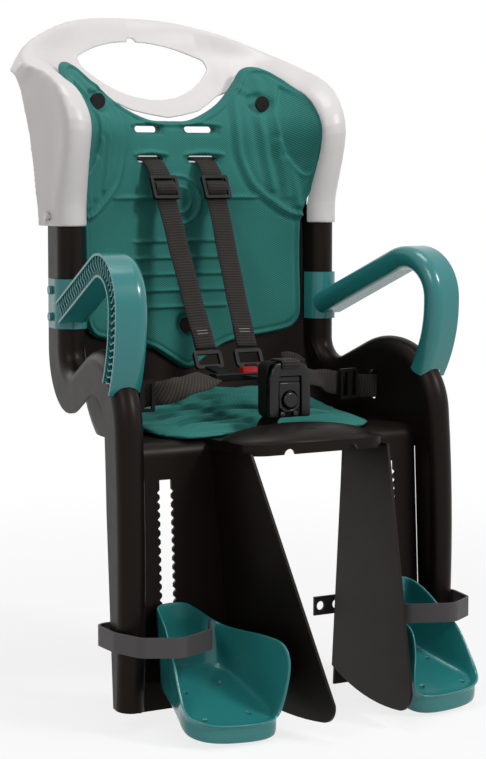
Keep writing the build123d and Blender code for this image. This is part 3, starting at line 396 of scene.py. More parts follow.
class Wardrobe:
    """Every finish of the seat, made once."""

    def __init__(self) -> None:
        """Makes the materials."""
        recipes = {
            Finish.SHELL: MouldedPlastic(
                "shell_black_moulded", linear(18, 14, 12), rough=(0.32, 0.44), specular=0.13,
                gleam=(1.0, 0.84, 0.76, 1.0),
            ),
            Finish.FRAME: MouldedPlastic(
                "frame_white_moulded", linear(212, 207, 207), shade=0.97, rough=(0.34, 0.44), strength=0.12
            ),
            Finish.TEAL: MouldedPlastic(
                "teal_gloss_moulded", linear(40, 124, 124), shade=0.9, rough=(0.2, 0.3), strength=0.1,
                specular=0.35, coat=0.3,
            ),
            Finish.PAD: TwillCloth("pad_teal_twill", linear(58, 134, 126), linear(26, 88, 82)),
            Finish.WEBBING: WovenWebbing(
                "webbing_brown_black", linear(53, 48, 43), linear(7, 6, 5), rib=0.0031, depth=0.0008
            ),
            Finish.BLACK: MouldedPlastic(
                "fitting_black_moulded", linear(14, 12, 11), rough=(0.42, 0.54), grain=1400.0, specular=0.16
            ),
            Finish.RED: MouldedPlastic("release_red_moulded", linear(190, 22, 26), rough=(0.25, 0.35)),
            Finish.RUBBER: MouldedPlastic(
                "band_grey_rubber", linear(74, 70, 71), rough=(0.5, 0.62), grain=1600.0, specular=0.3
            ),
            Finish.STEEL: MouldedPlastic(
                "screw_zinc_steel", linear(176, 176, 178), rough=(0.25, 0.4), grain=2200.0, metallic=1.0
            ),
        }
        self.materials = {finish: recipe.make() for finish, recipe in recipes.items()}
        self.lap = WovenWebbing(
            "webbing_lap_twill", linear(70, 64, 57), linear(10, 9, 8), rib=0.0034, slant=math.radians(38.0)
        ).make()
        self.thread = MouldedPlastic("stitch_pale_thread", linear(150, 143, 135), rough=(0.6, 0.8)).make()
        self.gloss = MouldedPlastic(
            "buckle_black_gloss", linear(15, 13, 12), rough=(0.2, 0.28), grain=1400.0, specular=0.34
        ).make()

    def of(self, finish: Finish) -> bpy.types.Material:
        """The material of a finish."""
        return self.materials[finish]


@dataclass(frozen=True)
class Mouldings:
    """The rigid CAD nodes, each with its finish. A node takes the first stem that its name starts with."""

    wardrobe: Wardrobe
    replaced: tuple[str, ...]
    glossy: tuple[str, ...] = ("buckle_button",)
    stems: tuple[tuple[str, Finish], ...] = (
        ("seat_shell", Finish.SHELL), ("head_frame", Finish.FRAME), ("armrest", Finish.TEAL),
        ("footrest_catch", Finish.BLACK), ("footrest", Finish.TEAL), ("foot_strap", Finish.RUBBER),
        ("release", Finish.RED), ("carrier_screws", Finish.STEEL), ("catch_screws", Finish.STEEL),
        ("strap_bar", Finish.STEEL),
    )

    def finish_of(self, name: str) -> Finish:
        """The finish of a CAD node by its name."""
        return next((finish for stem, finish in self.stems if name.startswith(stem)), Finish.BLACK)

    def dress(self) -> None:
        """Puts the finishes on every node that no piece replaces."""
        for name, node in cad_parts.items():
            if name in self.replaced:
                continue
            finish = self.finish_of(name)
            material = self.wardrobe.gloss if name in self.glossy else self.wardrobe.of(finish)
            if not node.material_slots:
                node.data.materials.append(material)
            for slot in node.material_slots:
                slot.material = material
            log.info("dressed %s as %s", name, finish.value)


def mesh_piece(
    name: str, points: np.ndarray, faces: Iterable[Sequence[int]], material: bpy.types.Material
) -> bpy.types.Object:
    """A smooth-shaded mesh object.

    Args:
        name: The piece's name.
        points: Vertices in millimetres.
        faces: Vertex indices of each face.
        material: Its finish.

    Returns:
        The linked object.
    """
    mesh = bpy.data.meshes.new(name)
    mesh.from_pydata((np.asarray(points) * MM).tolist(), [], [list(face) for face in faces])
    mesh.polygons.foreach_set("use_smooth", [True] * len(mesh.polygons))
    mesh.materials.append(material)
    mesh.update()
    piece = bpy.data.objects.new(name, mesh)
    bpy.context.scene.collection.objects.link(piece)
    return piece


def settle(piece: bpy.types.Object) -> None:
    """Applies a piece's modifiers to its mesh.

    Args:
        piece: The piece, which is then shaded smooth.
    """
    shape = piece.evaluated_get(bpy.context.evaluated_depsgraph_get())
    mesh = bpy.data.meshes.new_from_object(shape)
    piece.modifiers.clear()
    piece.data = mesh
    mesh.polygons.foreach_set("use_smooth", [True] * len(mesh.polygons))


def refine(piece: bpy.types.Object) -> None:
    """Splits a piece's faces once, on a smooth surface through them.

    Args:
        piece: The piece.
    """
    finer = piece.modifiers.new("finer", "SUBSURF")
    finer.levels = 1
    finer.render_levels = 1
    settle(piece)


def cut_out(piece: bpy.types.Object, tool: bpy.types.Object) -> None:
    """Cuts a tool's shape out of a piece and removes the tool.

    Args:
        piece: The piece.
        tool: The shape to cut.
    """
    cut = piece.modifiers.new("cut", "BOOLEAN")
    cut.operation = "DIFFERENCE"
    cut.solver = "EXACT"
    cut.object = tool
    settle(piece)
    bpy.data.objects.remove(tool)


def even_copy(node: str, name: str, voxel: float, rounds: int) -> bpy.types.Object:
    """A copy of a CAD node with even faces and soft edges.

    Args:
        node: The node's name.
        name: The piece's name.
        voxel: The size of its faces, in millimetres.
        rounds: Rounds of smoothing.

    Returns:
        The linked piece, with its modifiers not yet applied.
    """
    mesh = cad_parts[node].data.copy()
    mesh.materials.clear()
    piece = bpy.data.objects.new(name, mesh)
    bpy.context.scene.collection.objects.link(piece)
    even = piece.modifiers.new("even", "REMESH")
    even.mode = "VOXEL"
    even.voxel_size = voxel * MM
    soft = piece.modifiers.new("soft", "SMOOTH")
    soft.factor = 0.5
    soft.iterations = rounds
    return piece


def coordinates(mesh: bpy.types.Mesh) -> np.ndarray:
    """A mesh's vertices in metres, one to a row.

    Args:
        mesh: The mesh.

    Returns:
        An array of three columns.
    """
    places = np.zeros(len(mesh.vertices) * 3, np.float32)
    mesh.vertices.foreach_get("co", places)
    return places.reshape(-1, 3)


def tube_faces(rows: int, size: int) -> Faces:
    """The faces of a stack of rings of points, closed at both ends.

    Args:
        rows: How many rings there are.
        size: How many points each ring has.

    Returns:
        Vertex indices of each face.
    """
    faces: Faces = []
    for row in range(rows - 1):
        low, high = row * size, (row + 1) * size
        for spot in range(size):
            after = (spot + 1) % size
            faces.append((low + spot, low + after, high + after, high + spot))
    faces.append(tuple(reversed(range(size))))
    faces.append(tuple(range((rows - 1) * size, rows * size)))
    return faces


def bars(ends: Iterable[Sequence[Sequence[Sequence[float]]]]) -> tuple[np.ndarray, Faces]:
    """Straight bars between pairs of like rings.

    Args:
        ends: The two end rings of each bar. The second turns left, seen from outside.

    Returns:
        All the points, and the faces that close each bar.
    """
    points: list[Sequence[float]] = []
    faces: Faces = []
    for first_ring, second_ring in ends:
        first = len(points)
        faces += [tuple(first + index for index in face) for face in tube_faces(2, len(first_ring))]
        points += [*first_ring, *second_ring]
    return np.array(points), faces


def facing(faces: Faces, side: float) -> Faces:
    """Faces made for the right side, turned outwards on a side.

    Args:
        faces: The faces.
        side: -1 on the left, 1 on the right.

    Returns:
        The faces for that side.
    """
    return faces if side > 0.0 else [tuple(reversed(face)) for face in faces]


def run_lengths(points: np.ndarray) -> np.ndarray:
    """How far along a line each of its points lies."""
    return np.concatenate([[0.0], np.cumsum(np.linalg.norm(np.diff(points, axis=0), axis=1))])


def spaced(points: np.ndarray, along: np.ndarray, wanted: np.ndarray) -> np.ndarray:
    """Values along a line at other places of it.

    Args:
        points: Values at known places, one to a row.
        along: How far along the line those places lie.
        wanted: How far along values are wanted.

    Returns:
        One row of values for each wanted place.
    """
    return np.stack([np.interp(wanted, along, column) for column in points.T], axis=1)


def smooth_line(points: Sequence[Sequence[float]], count: int, fine: int = 24) -> np.ndarray:
    """Evenly spaced points on a smooth line through some points.

    Args:
        points: The points, with any number of values each.
        count: How many to give back.
        fine: Steps between two points.

    Returns:
        An array of that many points.
    """
    knots = np.asarray(points, float)
    ends = np.vstack([2 * knots[0] - knots[1], knots, 2 * knots[-1] - knots[-2]])
    share = np.linspace(0.0, 1.0, fine, endpoint=False)[:, None]
    runs = []
    for a, b, c, d in zip(ends, ends[1:], ends[2:], ends[3:]):
        runs.append(
            0.5 * (2 * b + (c - a) * share + (2 * a - 5 * b + 4 * c - d) * share**2
                   + (3 * b - a - 3 * c + d) * share**3)
        )
    dense = np.vstack(runs + [knots[-1:]])
    along = run_lengths(dense)
    return spaced(dense, along, np.linspace(0.0, along[-1], count))


def eased(at: np.ndarray, knots: Sequence[float], values: Sequence[float]) -> np.ndarray:
    """Values between knots on a line with no corners.

    Args:
        at: Where values are wanted.
        knots: Rising places.
        values: The value at each.

    Returns:
        One value for each place.
    """
    places, heights = np.asarray(knots, float), np.asarray(values, float)
    slopes = np.gradient(heights, places)
    left = np.clip(np.searchsorted(places, at) - 1, 0, len(places) - 2)
    run = places[left + 1] - places[left]
    t = np.clip((at - places[left]) / run, 0.0, 1.0)
    ease = t * t * (3.0 - 2.0 * t)
    bend = t * (1.0 - t) * ((1.0 - t) * slopes[left] - t * slopes[left + 1]) * run
    return heights[left] + (heights[left + 1] - heights[left]) * ease + bend


def line_distance(spots: np.ndarray, line: np.ndarray) -> np.ndarray:
    """The distance of each spot from a line of points.

    Args:
        spots: An array of 2D points.
        line: The line's points.

    Returns:
        One distance for each spot.
    """
    best = np.full(len(spots), np.inf)
    for start, end in zip(line, line[1:]):
        run = end - start
        share = np.clip(((spots - start) @ run) / max(run @ run, TINY), 0.0, 1.0)
        best = np.minimum(best, np.linalg.norm(spots - start - share[:, None] * run, axis=1))
    return best


def inside(spots: np.ndarray, ring: np.ndarray) -> np.ndarray:
    """Whether each spot lies within a closed ring.

    Args:
        spots: An array of 2D points.
        ring: The ring's points.

    Returns:
        One truth value for each spot.
    """
    within = np.zeros(len(spots), bool)
    for (x0, y0), (x1, y1) in zip(ring, np.roll(ring, -1, axis=0)):
        crosses = (y0 > spots[:, 1]) != (y1 > spots[:, 1])
        run = (x1 - x0) * (spots[:, 1] - y0) / (y1 - y0 if y1 != y0 else TINY) + x0
        within ^= crosses & (spots[:, 0] < run)
    return within


def step(value: np.ndarray, width: float) -> np.ndarray:
    """A soft step from 0 to 1 about zero, that wide."""
    return 0.5 * (1.0 + np.tanh(2.0 * value / width))


def mirrored(points: Iterable[Sequence[float]]) -> list[tuple[float, ...]]:
    """The same points on the other side of the seat's middle."""
    return [(-point[0], *point[1:]) for point in points]


@dataclass(frozen=True)
class SoftMoulding:
    """A CAD node with the soft radii of its mould: remeshed evenly, smoothed and thinned. Millimetres."""

    node: str
    body: str
    finish: Finish
    voxel: float = 1.0
    rounds: int = 18
    share: float = 0.6

    def build(self, material: bpy.types.Material) -> bpy.types.Object:
        """Makes the piece from a copy of its node's mesh.

        Args:
            material: Its finish.

        Returns:
            The piece, riding on its body in place of the node.
        """
        piece = even_copy(self.node, f"{self.node}_moulding", self.voxel, self.rounds)
        light = piece.modifiers.new("light", "DECIMATE")
        light.ratio = self.share
        settle(piece)
        piece.data.materials.clear()
        piece.data.materials.append(material)
        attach(piece, self.body)
        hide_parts(self.node)
        log.info("softened %s to %d faces", self.node, len(piece.data.polygons))
        return piece


@dataclass(frozen=True)
class ScoopStation:
    """A place round a foot scoop: its floor's edge and its rim. Millimetres, in the leg guard's frame.

    Each place is the distance across and the depth behind the guard's front; rise is the rim above the floor.
    """

    floor: Point2
    rim: Point2
    rise: float


@dataclass(frozen=True)
class FootScoop:
    """A foot scoop: sloping floor, heel, inner and outer wall and a toe skirt in one moulding. Millimetres.

    Its section runs from the floor's middle up the wall, over the lip, down the outside and under the floor.
    """

    material: bpy.types.Material
    stations: tuple[ScoopStation, ...] = (
        ScoopStation((100.0, -5.0), (100.0, -4.0), 53.0),
        ScoopStation((118.0, -5.0), (118.0, -4.0), 64.0),
        ScoopStation((138.0, -5.0), (138.0, -4.0), 66.0),
        ScoopStation((150.0, -9.0), (152.0, -7.0), 66.0),
        ScoopStation((154.0, -22.0), (157.0, -20.0), 66.0),
        ScoopStation((157.0, -38.0), (161.0, -38.0), 60.0),
        ScoopStation((161.0, -54.0), (166.0, -54.0), 50.0),
        ScoopStation((166.0, -70.0), (171.0, -71.0), 42.0),
        ScoopStation((170.0, -83.0), (174.0, -84.0), 24.0),
        ScoopStation((170.0, -95.0), (174.0, -97.0), 7.0),
        ScoopStation((161.0, -106.0), (163.0, -110.0), 3.4),
        ScoopStation((145.0, -112.5), (146.0, -116.5), 2.6),
        ScoopStation((122.0, -116.0), (122.0, -120.0), 2.6),
        ScoopStation((101.0, -116.0), (100.0, -120.0), 3.0),
        ScoopStation((87.0, -111.0), (83.0, -117.0), 8.0),
        ScoopStation((81.0, -99.0), (77.0, -127.0), 46.0),
        ScoopStation((79.0, -84.0), (77.4, -119.0), 62.0),
        ScoopStation((79.0, -64.0), (79.2, -88.0), 60.0),
        ScoopStation((80.0, -42.0), (80.4, -50.0), 52.0),
        ScoopStation((82.5, -21.0), (82.2, -22.0), 45.0),
        ScoopStation((88.0, -9.0), (86.0, -7.0), 44.0),
    )
    middle: Point2 = (126.0, -64.0)
    guard_y: float = -111.006
    lean: float = math.radians(2.4)
    floor_height: float = -203.0
    floor_slope: float = math.radians(20.0)
    floor_shares: tuple[float, ...] = (0.04, 0.3, 0.55, 0.75, 0.88)
    cove_start: Point2 = (4.0, 0.3)
    cove_inset: float = 1.2
    cove_share: float = 0.3
    cove_height: float = 5.0
    cove_limit: float = 0.5
    wall: float = 3.0
    wall_flare: float = 0.4
    inner_shares: tuple[float, ...] = (0.35, 0.7, 0.95)
    lip: tuple[Point2, ...] = ((0.3, 0.0), (1.5, 0.7), (2.7, 0.0))
    outer_shares: tuple[float, ...] = (0.1, 0.45, 0.8, 1.0)
    skirt: float = 16.0
    skirt_section: tuple[Point2, ...] = ((3.4, 0.55), (2.6, 0.9), (1.5, 1.0), (0.4, 0.94), (0.2, 0.4))
    under_inset: float = 2.0
    under_shares: tuple[float, ...] = (0.7, 0.35, 0.04)
    around: int = 84
    drains: tuple[Point2, ...] = ((104.0, -40.0), (148.0, -48.0), (106.0, -96.0), (156.0, -98.0))
    drain_radius: float = 2.6
    drain_sides: int = 20
    drill_span: Point2 = (-290.0, -180.0)
    neck_low: Point3 = (130.75, -4.5, -185.0)
    neck_high: Point3 = (143.25, 3.5, -155.0)

    def ring(self, places: np.ndarray, above: np.ndarray | float) -> np.ndarray:
        """A ring of points above the sloping floor.

        Args:
            places: Distances across and depths.
            above: How far above the floor.

        Returns:
            Distances across, depths and heights.
        """
        slope = math.tan(self.floor_slope)
        height = self.floor_height + slope * np.minimum(places[:, 1], 0.0) + above
        return np.column_stack([places, height])

    def rings(self) -> list[np.ndarray]:
        """The scoop's rings of points, from the floor's middle over the rim to its underside.

        Returns:
            Arrays of distances across, depths and heights.
        """
        rows = [(*s.floor, *s.rim, s.rise) for s in self.stations + self.stations[:1]]
        line = smooth_line(rows, self.around + 1)[:-1]
        base, rim, rise = line[:, :2], line[:, 2:4], line[:, 4]
        middle = np.array(self.middle)
        way = np.roll(base, -1, axis=0) - np.roll(base, 1, axis=0)
        out = np.stack([-way[:, 1], way[:, 0]], axis=1) / np.linalg.norm(way, axis=1)[:, None]
        out *= np.sign(np.sum(out * (base - middle), axis=1).mean())
        slope = math.tan(self.floor_slope)
        lift = rise + slope * (base[:, 1] - np.minimum(rim[:, 1], 0.0))
        cove = np.minimum(self.cove_height, self.cove_limit * rise)
        inset, start_rise = self.cove_start
        stack = [self.ring(middle + (base - middle) * share, 0.0) for share in self.floor_shares]
        stack.append(self.ring(base - out * inset, start_rise))
        stack.append(self.ring(base - out * self.cove_inset, self.cove_share * cove))
        stack.append(self.ring(base, cove))
        for share in self.inner_shares:
            stack.append(self.ring(base + (rim - base) * share, cove + (lift - cove) * share))
        for offset, above in self.lip:
            stack.append(self.ring(rim + out * offset, lift + above))
        for share in self.outer_shares:
            outside = rim + (base - rim) * share + out * (self.wall + self.wall_flare * share)
            stack.append(self.ring(outside, lift * (1.0 - share)))
        for offset, below in self.skirt_section:
            stack.append(self.ring(base + out * offset, -self.skirt * below))
        stack.append(self.ring(base - out * self.under_inset, -self.wall))
        stack += [self.ring(middle + (base - middle) * share, -self.wall) for share in self.under_shares]
        return stack

    def world(self, points: np.ndarray, side: float) -> np.ndarray:
        """Points of the guard's frame as points of the seat's.

        Args:
            points: Distances across, depths and heights.
            side: -1 on the left, 1 on the right.

        Returns:
            Points in the seat's frame.
        """
        across, depth, height = points.T
        y = self.guard_y + depth * math.cos(self.lean) + height * math.sin(self.lean)
        z = height * math.cos(self.lean) - depth * math.sin(self.lean)
        return np.column_stack([side * across, y, z])

    def build(self, name: str, side: float) -> bpy.types.Object:
        """Makes one scoop.

        Args:
            name: Its side's name.
            side: -1 on the left, 1 on the right.

        Returns:
            The scoop, riding on its footrest in place of the plain solid.
        """
        rings = self.rings()
        points = self.world(np.vstack(rings), side)
        faces = facing(tube_faces(len(rings), self.around), side)
        scoop = mesh_piece(f"foot_scoop_{name}", points, faces, self.material)
        refine(scoop)
        self.drill(scoop, side)
        self.add_neck(scoop, side)
        body = f"footrest_{name}"
        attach(scoop, body)
        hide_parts(body)
        log.info("built %s with %d faces", scoop.name, len(scoop.data.polygons))
        return scoop

    def drill(self, scoop: bpy.types.Object, side: float) -> None:
        """Cuts the drain holes through the floor.

        Args:
            scoop: The scoop.
            side: -1 on the left, 1 on the right.
        """
        turns = np.linspace(0.0, math.tau, self.drain_sides, endpoint=False)
        circle = self.drain_radius * np.column_stack([np.cos(turns), np.sin(turns)])
        ends = [
            [np.insert(circle + drain, 2, height, axis=1) for height in self.drill_span]
            for drain in self.drains
        ]
        points, faces = bars(ends)
        cutter = mesh_piece("drain_cutter", self.world(points, side), facing(faces, side), self.material)
        cut_out(scoop, cutter)

    def add_neck(self, scoop: bpy.types.Object, side: float) -> None:
        """Adds the neck that runs through the guard's toothed slot.

        Args:
            scoop: The scoop.
            side: -1 on the left, 1 on the right.
        """
        (x0, front, low), (x1, back, high) = self.neck_low, self.neck_high
        section = ((x0, front), (x1, front), (x1, back), (x0, back))
        points, faces = bars([[[(*corner, height) for corner in section] for height in (low, high)]])
        shape = bmesh.new()
        shape.from_mesh(scoop.data)
        spots = [shape.verts.new(place) for place in self.world(points, side) * MM]
        for face in facing(faces, side):
            shape.faces.new([spots[index] for index in face])
        shape.to_mesh(scoop.data)
        shape.free()


@dataclass(frozen=True)
class Welt:
    """A raised or sunken line of a pad's cloth, some way from the line that it follows. Millimetres."""

    height: float
    width: float
    offset: float = 0.0

    def rise(self, distance: np.ndarray) -> np.ndarray:
        """How far it stands out, by the distance from its line."""
        return self.height * np.exp(-(((distance - self.offset) / self.width) ** 2))


@dataclass(frozen=True)
class BackPad:
    """The back pad: foam in twill cloth, with embossed lines, wings and strap slots. Millimetres.

    Outlines and lines are places across and up on the right side.
    A pair for a soft edge is its place and width.
    """

    cloth: bpy.types.Material
    heights: tuple[float, ...] = (70.0, 125.0, 240.0, 306.0, 348.0, 372.0, 399.0, 420.0)
    middle: tuple[float, ...] = (77.0, 88.0, 101.0, 109.0, 119.0, 138.0, 160.0, 178.0)
    side: tuple[float, ...] = (56.5, 58.0, 60.0, 50.0, 44.0, 66.0, 108.0, 128.0)
    half_width: float = 144.0
    gap: float = 0.5
    thickness: float = 8.0
    least_thickness: float = 1.2
    edge_thinning: float = 0.62
    edge_width: float = 5.0
    edge_power: float = 2.2
    relief: float = 1.6
    calm_width: float = 2.5
    columns: int = 190
    rows: int = 200
    lower: tuple[Point2, ...] = (
        (0.0, 77.0), (9.0, 79.5), (24.0, 89.0), (45.0, 101.0), (72.0, 108.0), (100.0, 112.0), (124.0, 118.0),
        (134.0, 128.0),
    )
    edge: tuple[Point2, ...] = (
        (134.0, 128.0), (136.3, 146.0), (138.0, 240.0), (147.0, 280.0), (150.5, 305.0), (151.5, 340.0),
        (149.0, 372.0), (140.0, 397.0),
    )
    upper: tuple[Point2, ...] = (
        (140.0, 397.0), (131.0, 407.0), (119.0, 411.0), (107.0, 407.0), (92.0, 392.0), (62.0, 366.0),
        (28.0, 350.0), (0.0, 348.0),
    )
    piping: tuple[Welt, ...] = (Welt(0.9, 1.9, 3.0), Welt(-1.0, 1.6, 7.0))
    wing: tuple[Point2, ...] = (
        (105.0, 407.0), (97.4, 398.0), (86.4, 381.3), (76.7, 362.7), (72.4, 342.3), (72.2, 320.0),
        (76.5, 300.0), (86.4, 277.8), (103.0, 261.6), (121.6, 247.4), (137.0, 243.0),
    )
    wing_points: int = 120
    wing_rise: float = 2.0
    wing_edge: float = 7.0
    wing_welts: tuple[Welt, ...] = (Welt(1.5, 2.6), Welt(-0.8, 2.6, 6.0))
    gather: Welt = Welt(1.1, 5.0)
    gather_turn: float = 1.15
    gather_top: Point2 = (270.0, 16.0)
    gather_start: float = 86.0
    hollow_inner: tuple[Point2, ...] = (
        (130.0, 388.0), (121.0, 373.0), (114.0, 352.0), (115.0, 332.0), (120.0, 314.0), (130.0, 298.0),
        (138.5, 292.0),
    )
    hollow_outer: tuple[Point2, ...] = (
        (141.5, 312.0), (143.5, 332.0), (144.0, 350.0), (142.0, 362.0), (138.5, 376.0),
    )
    hollow_points: int = 160
    hollow_depth: float = 4.2
    hollow_edge: float = 3.0
    hollow_slant: float = 30.0
    hollow_welt: Welt = Welt(1.3, 2.2, -3.0)
    creases: tuple[tuple[Point2, ...], ...] = (
        ((97.0, 352.0), (95.6, 342.0), (100.6, 304.0), (106.7, 274.0)),
        ((110.0, 325.0), (112.0, 312.0), (117.0, 292.0), (121.5, 266.0)),
        ((119.5, 305.0), (124.0, 290.0), (128.0, 272.0), (132.0, 256.0)),
        ((92.0, 385.0), (101.0, 378.0), (108.0, 384.0), (114.0, 396.0)),
    )
    crease_points: int = 40
    crease_welts: tuple[Welt, ...] = (Welt(1.4, 3.2), Welt(-0.9, 3.6, 7.0))
    slot_x: float = 33.5
    slot_heights: tuple[float, ...] = (306.5, 339.0)
    slot_size: Point2 = (36.0, 7.0)
    slot_turns: int = 9
    slot_span: Point2 = (60.0, 140.0)
    brow: Welt = Welt(2.6, 2.2, 7.5)
    brow_fall: float = 0.12
    brow_reach: float = 24.0
    well: Welt = Welt(-1.6, 2.2)
    line_end: float = 5.0
    rib: Welt = Welt(2.6, 1.9)
    rib_heights: tuple[float, ...] = (217.0, 199.0, 181.0, 163.5, 145.5)
    rib_reach: tuple[float, ...] = (64.0, 64.0, 61.0, 59.0, 51.0)
    bar: Welt = Welt(2.8, 2.1)
    bar_height: float = 264.5
    bar_reach: Point2 = (29.0, 92.0)
    ring: Welt = Welt(2.2, 1.8)
    ring_middle: Point2 = (0.0, 262.0)
    ring_radii: Point2 = (26.0, 14.3)
    snaps: tuple[Point2, ...] = ((-104.0, 368.0), (104.0, 368.0), (0.0, 125.0))
    snap_calm: Point2 = (12.0, 6.0)
    snap_dimple: Point2 = (11.5, 5.0)
    snap_depth: float = 2.6

    def panel(self, x: np.ndarray, z: np.ndarray, soft: bool) -> np.ndarray:
        """The depth of the shell's panel at each place.

        Args:
            x: Places across.
            z: Heights.
            soft: Whether its bends are eased, as the foam eases them.

        Returns:
            Depths, in millimetres.
        """
        between = eased if soft else np.interp
        middle = between(z, self.heights, self.middle)
        rise = middle - between(z, self.heights, self.side)
        radius = (self.half_width**2 + rise**2) / (2.0 * rise)
        reach = np.minimum(np.abs(x), self.half_width)
        return middle - radius + np.sqrt(np.maximum(radius**2 - reach**2, 1.0))

    def wing_form(self, x: np.ndarray, z: np.ndarray) -> np.ndarray:
        """How far the wing, its rolled edge and its gathers stand forward.

        Args:
            x: Distances from the middle.
            z: Heights.

        Returns:
            Heights of the relief.
        """
        wing = smooth_line(self.wing, self.wing_points)
        away = line_distance(np.stack([x, z], axis=1), wing)
        start = np.interp(z, wing[::-1, 1], wing[::-1, 0], left=np.inf, right=np.inf)
        height = self.wing_rise * step(x - start, self.wing_edge)
        height += sum(welt.rise(away) for welt in self.wing_welts)
        top, fade = self.gather_top
        gathers = 0.5 + 0.5 * np.sin(x * self.gather_turn)
        return height + gathers * self.gather.rise(away) * step(top - z, fade) * (x > self.gather_start)

    def hollow_form(self, x: np.ndarray, z: np.ndarray) -> np.ndarray:
        """How far the wing's hollow lies back, deepest at its inner edge.

        Args:
            x: Distances from the middle.
            z: Heights.

        Returns:
            Heights of the relief.
        """
        spots = np.stack([x, z], axis=1)
        outline = self.hollow_inner + self.hollow_outer + self.hollow_inner[:1]
        hollow = smooth_line(outline, self.hollow_points)
        rim = line_distance(spots, hollow)
        within = np.where(inside(spots, hollow), rim, -rim)
        inner = np.array(self.hollow_inner)[::-1]
        start = np.interp(z, inner[:, 1], inner[:, 0])
        slant = np.clip(1.0 - (x - start) / self.hollow_slant, 0.0, 1.0)
        return self.hollow_welt.rise(within) - self.hollow_depth * step(within, self.hollow_edge) * slant

    def slot_form(self, x: np.ndarray, z: np.ndarray) -> np.ndarray:
        """How far the brows over the strap slots stand forward and the cloth round them lies back.

        Args:
            x: Distances from the middle.
            z: Heights.

        Returns:
            Heights of the relief.
        """
        height = np.zeros(len(x))
        across = np.abs(x - self.slot_x)
        wide, high = self.slot_size
        for level in self.slot_heights:
            brow = self.brow.rise(z - level + self.brow_fall * across) * (across < self.brow_reach)
            height += brow * step(self.brow_reach - across, self.line_end)
            outside = np.maximum(across - wide / 2, np.abs(z - level) - high / 2)
            height += self.well.rise(np.maximum(outside, 0.0))
        return height

    def line_form(self, x: np.ndarray, z: np.ndarray) -> np.ndarray:
        """How far the level ribs, the bar and the double ring stand forward.

        Args:
            x: Distances from the middle.
            z: Heights.

        Returns:
            Heights of the relief.
        """
        near, far = self.bar_reach
        height = self.bar.rise(z - self.bar_height) * step(far - x, self.line_end)
        height *= step(x - near, self.line_end)
        for level, reach in zip(self.rib_heights, self.rib_reach):
            height += self.rib.rise(z - level) * step(reach - x, self.line_end)
        out = np.hypot(x - self.ring_middle[0], z - self.ring_middle[1])
        return height + sum(self.ring.rise(out - radius) for radius in self.ring_radii)

    def emboss(self, spots: np.ndarray, border: np.ndarray) -> np.ndarray:
        """How far the cloth stands forward of the plain pad.

        Args:
            spots: Places across and up.
            border: Their distances from the pad's edge.

        Returns:
            Heights of the relief.
        """
        x, z = np.abs(spots[:, 0]), spots[:, 1]
        height = sum(welt.rise(border) for welt in self.piping)
        height = height + self.wing_form(x, z) + self.hollow_form(x, z)
        for crease in self.creases:
            away = line_distance(np.stack([x, z], axis=1), smooth_line(crease, self.crease_points))
            height += sum(welt.rise(away) for welt in self.crease_welts)
        height += self.slot_form(x, z) + self.line_form(x, z)
        calm, calm_width = self.snap_calm
        radius, dimple_width = self.snap_dimple
        for snap in self.snaps:
            away = np.linalg.norm(spots - snap, axis=1)
            height *= step(away - calm, calm_width)
            height -= self.snap_depth * step(radius - away, dimple_width)
        return height

    def grid(self) -> np.ndarray:
        """The pad's places across and up, from its four edges inwards.

        Returns:
            An array of rows, columns and two values.
        """
        half = self.columns // 2 + 1
        low = smooth_line(self.lower, half)
        low = np.vstack([np.array(mirrored(low))[::-1], low[1:]])
        top = smooth_line(self.upper[::-1], half)
        top = np.vstack([np.array(mirrored(top))[::-1], top[1:]])
        right = smooth_line(self.edge, self.rows)
        left = np.array(mirrored(right))
        u = np.linspace(0.0, 1.0, len(low))[None, :, None]
        v = np.linspace(0.0, 1.0, self.rows)[:, None, None]
        sides = (1 - u) * left[:, None] + u * right[:, None]
        ends = (1 - v) * low[None] + v * top[None]
        corners = (
            (1 - u) * (1 - v) * low[0] + u * (1 - v) * low[-1] + (1 - u) * v * top[0] + u * v * top[-1]
        )
        return sides + ends - corners

    def build(self) -> bpy.types.Object:
        """Makes the pad and cuts its strap slots.

        Returns:
            The pad, riding on the seat in place of its plain solid.
        """
        grid = self.grid()
        rows, columns = grid.shape[:2]
        spots = grid.reshape(-1, 2)
        rim = self.rim(rows, columns)
        border = line_distance(spots, spots[rim + rim[:1]])
        x, z = spots.T
        thinning = self.edge_thinning * np.maximum(1.0 - border / self.edge_width, 0.0) ** self.edge_power
        relief = self.relief * self.emboss(spots, border) * np.minimum(border / self.calm_width, 1.0)
        back = self.panel(x, z, soft=False) - self.gap
        front = self.panel(x, z, soft=True) - self.gap - self.thickness * (1.0 - thinning) - relief
        front = np.minimum(front, back - self.least_thickness)
        points = np.vstack([np.stack([x, depth, z], axis=1) for depth in (front, back)])
        count = rows * columns
        faces: Faces = []
        for row in range(rows - 1):
            for column in range(columns - 1):
                corner = row * columns + column
                quad = (corner, corner + 1, corner + columns + 1, corner + columns)
                faces.append(quad)
                faces.append(tuple(index + count for index in reversed(quad)))
        for here, there in zip(rim, rim[1:] + rim[:1]):
            faces.append((here, here + count, there + count, there))
        pad = mesh_piece("back_pad_cloth", points, faces, self.cloth)
        self.cut_slots(pad)
        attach(pad, SEAT)
        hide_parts("back_pad")
        log.info("built %s with %d faces", pad.name, len(pad.data.polygons))
        return pad

    @staticmethod
    def rim(rows: int, columns: int) -> list[int]:
        """The grid's border vertices in order.

        Args:
            rows: The grid's rows.
            columns: The grid's columns.

        Returns:
            Their indices, from the lower left corner along the bottom.
        """
        bottom = list(range(columns))
        right = [row * columns + columns - 1 for row in range(1, rows)]
        top = [(rows - 1) * columns + column for column in range(columns - 2, -1, -1)]
        left = [row * columns for row in range(rows - 2, 0, -1)]
        return bottom + right + top + left

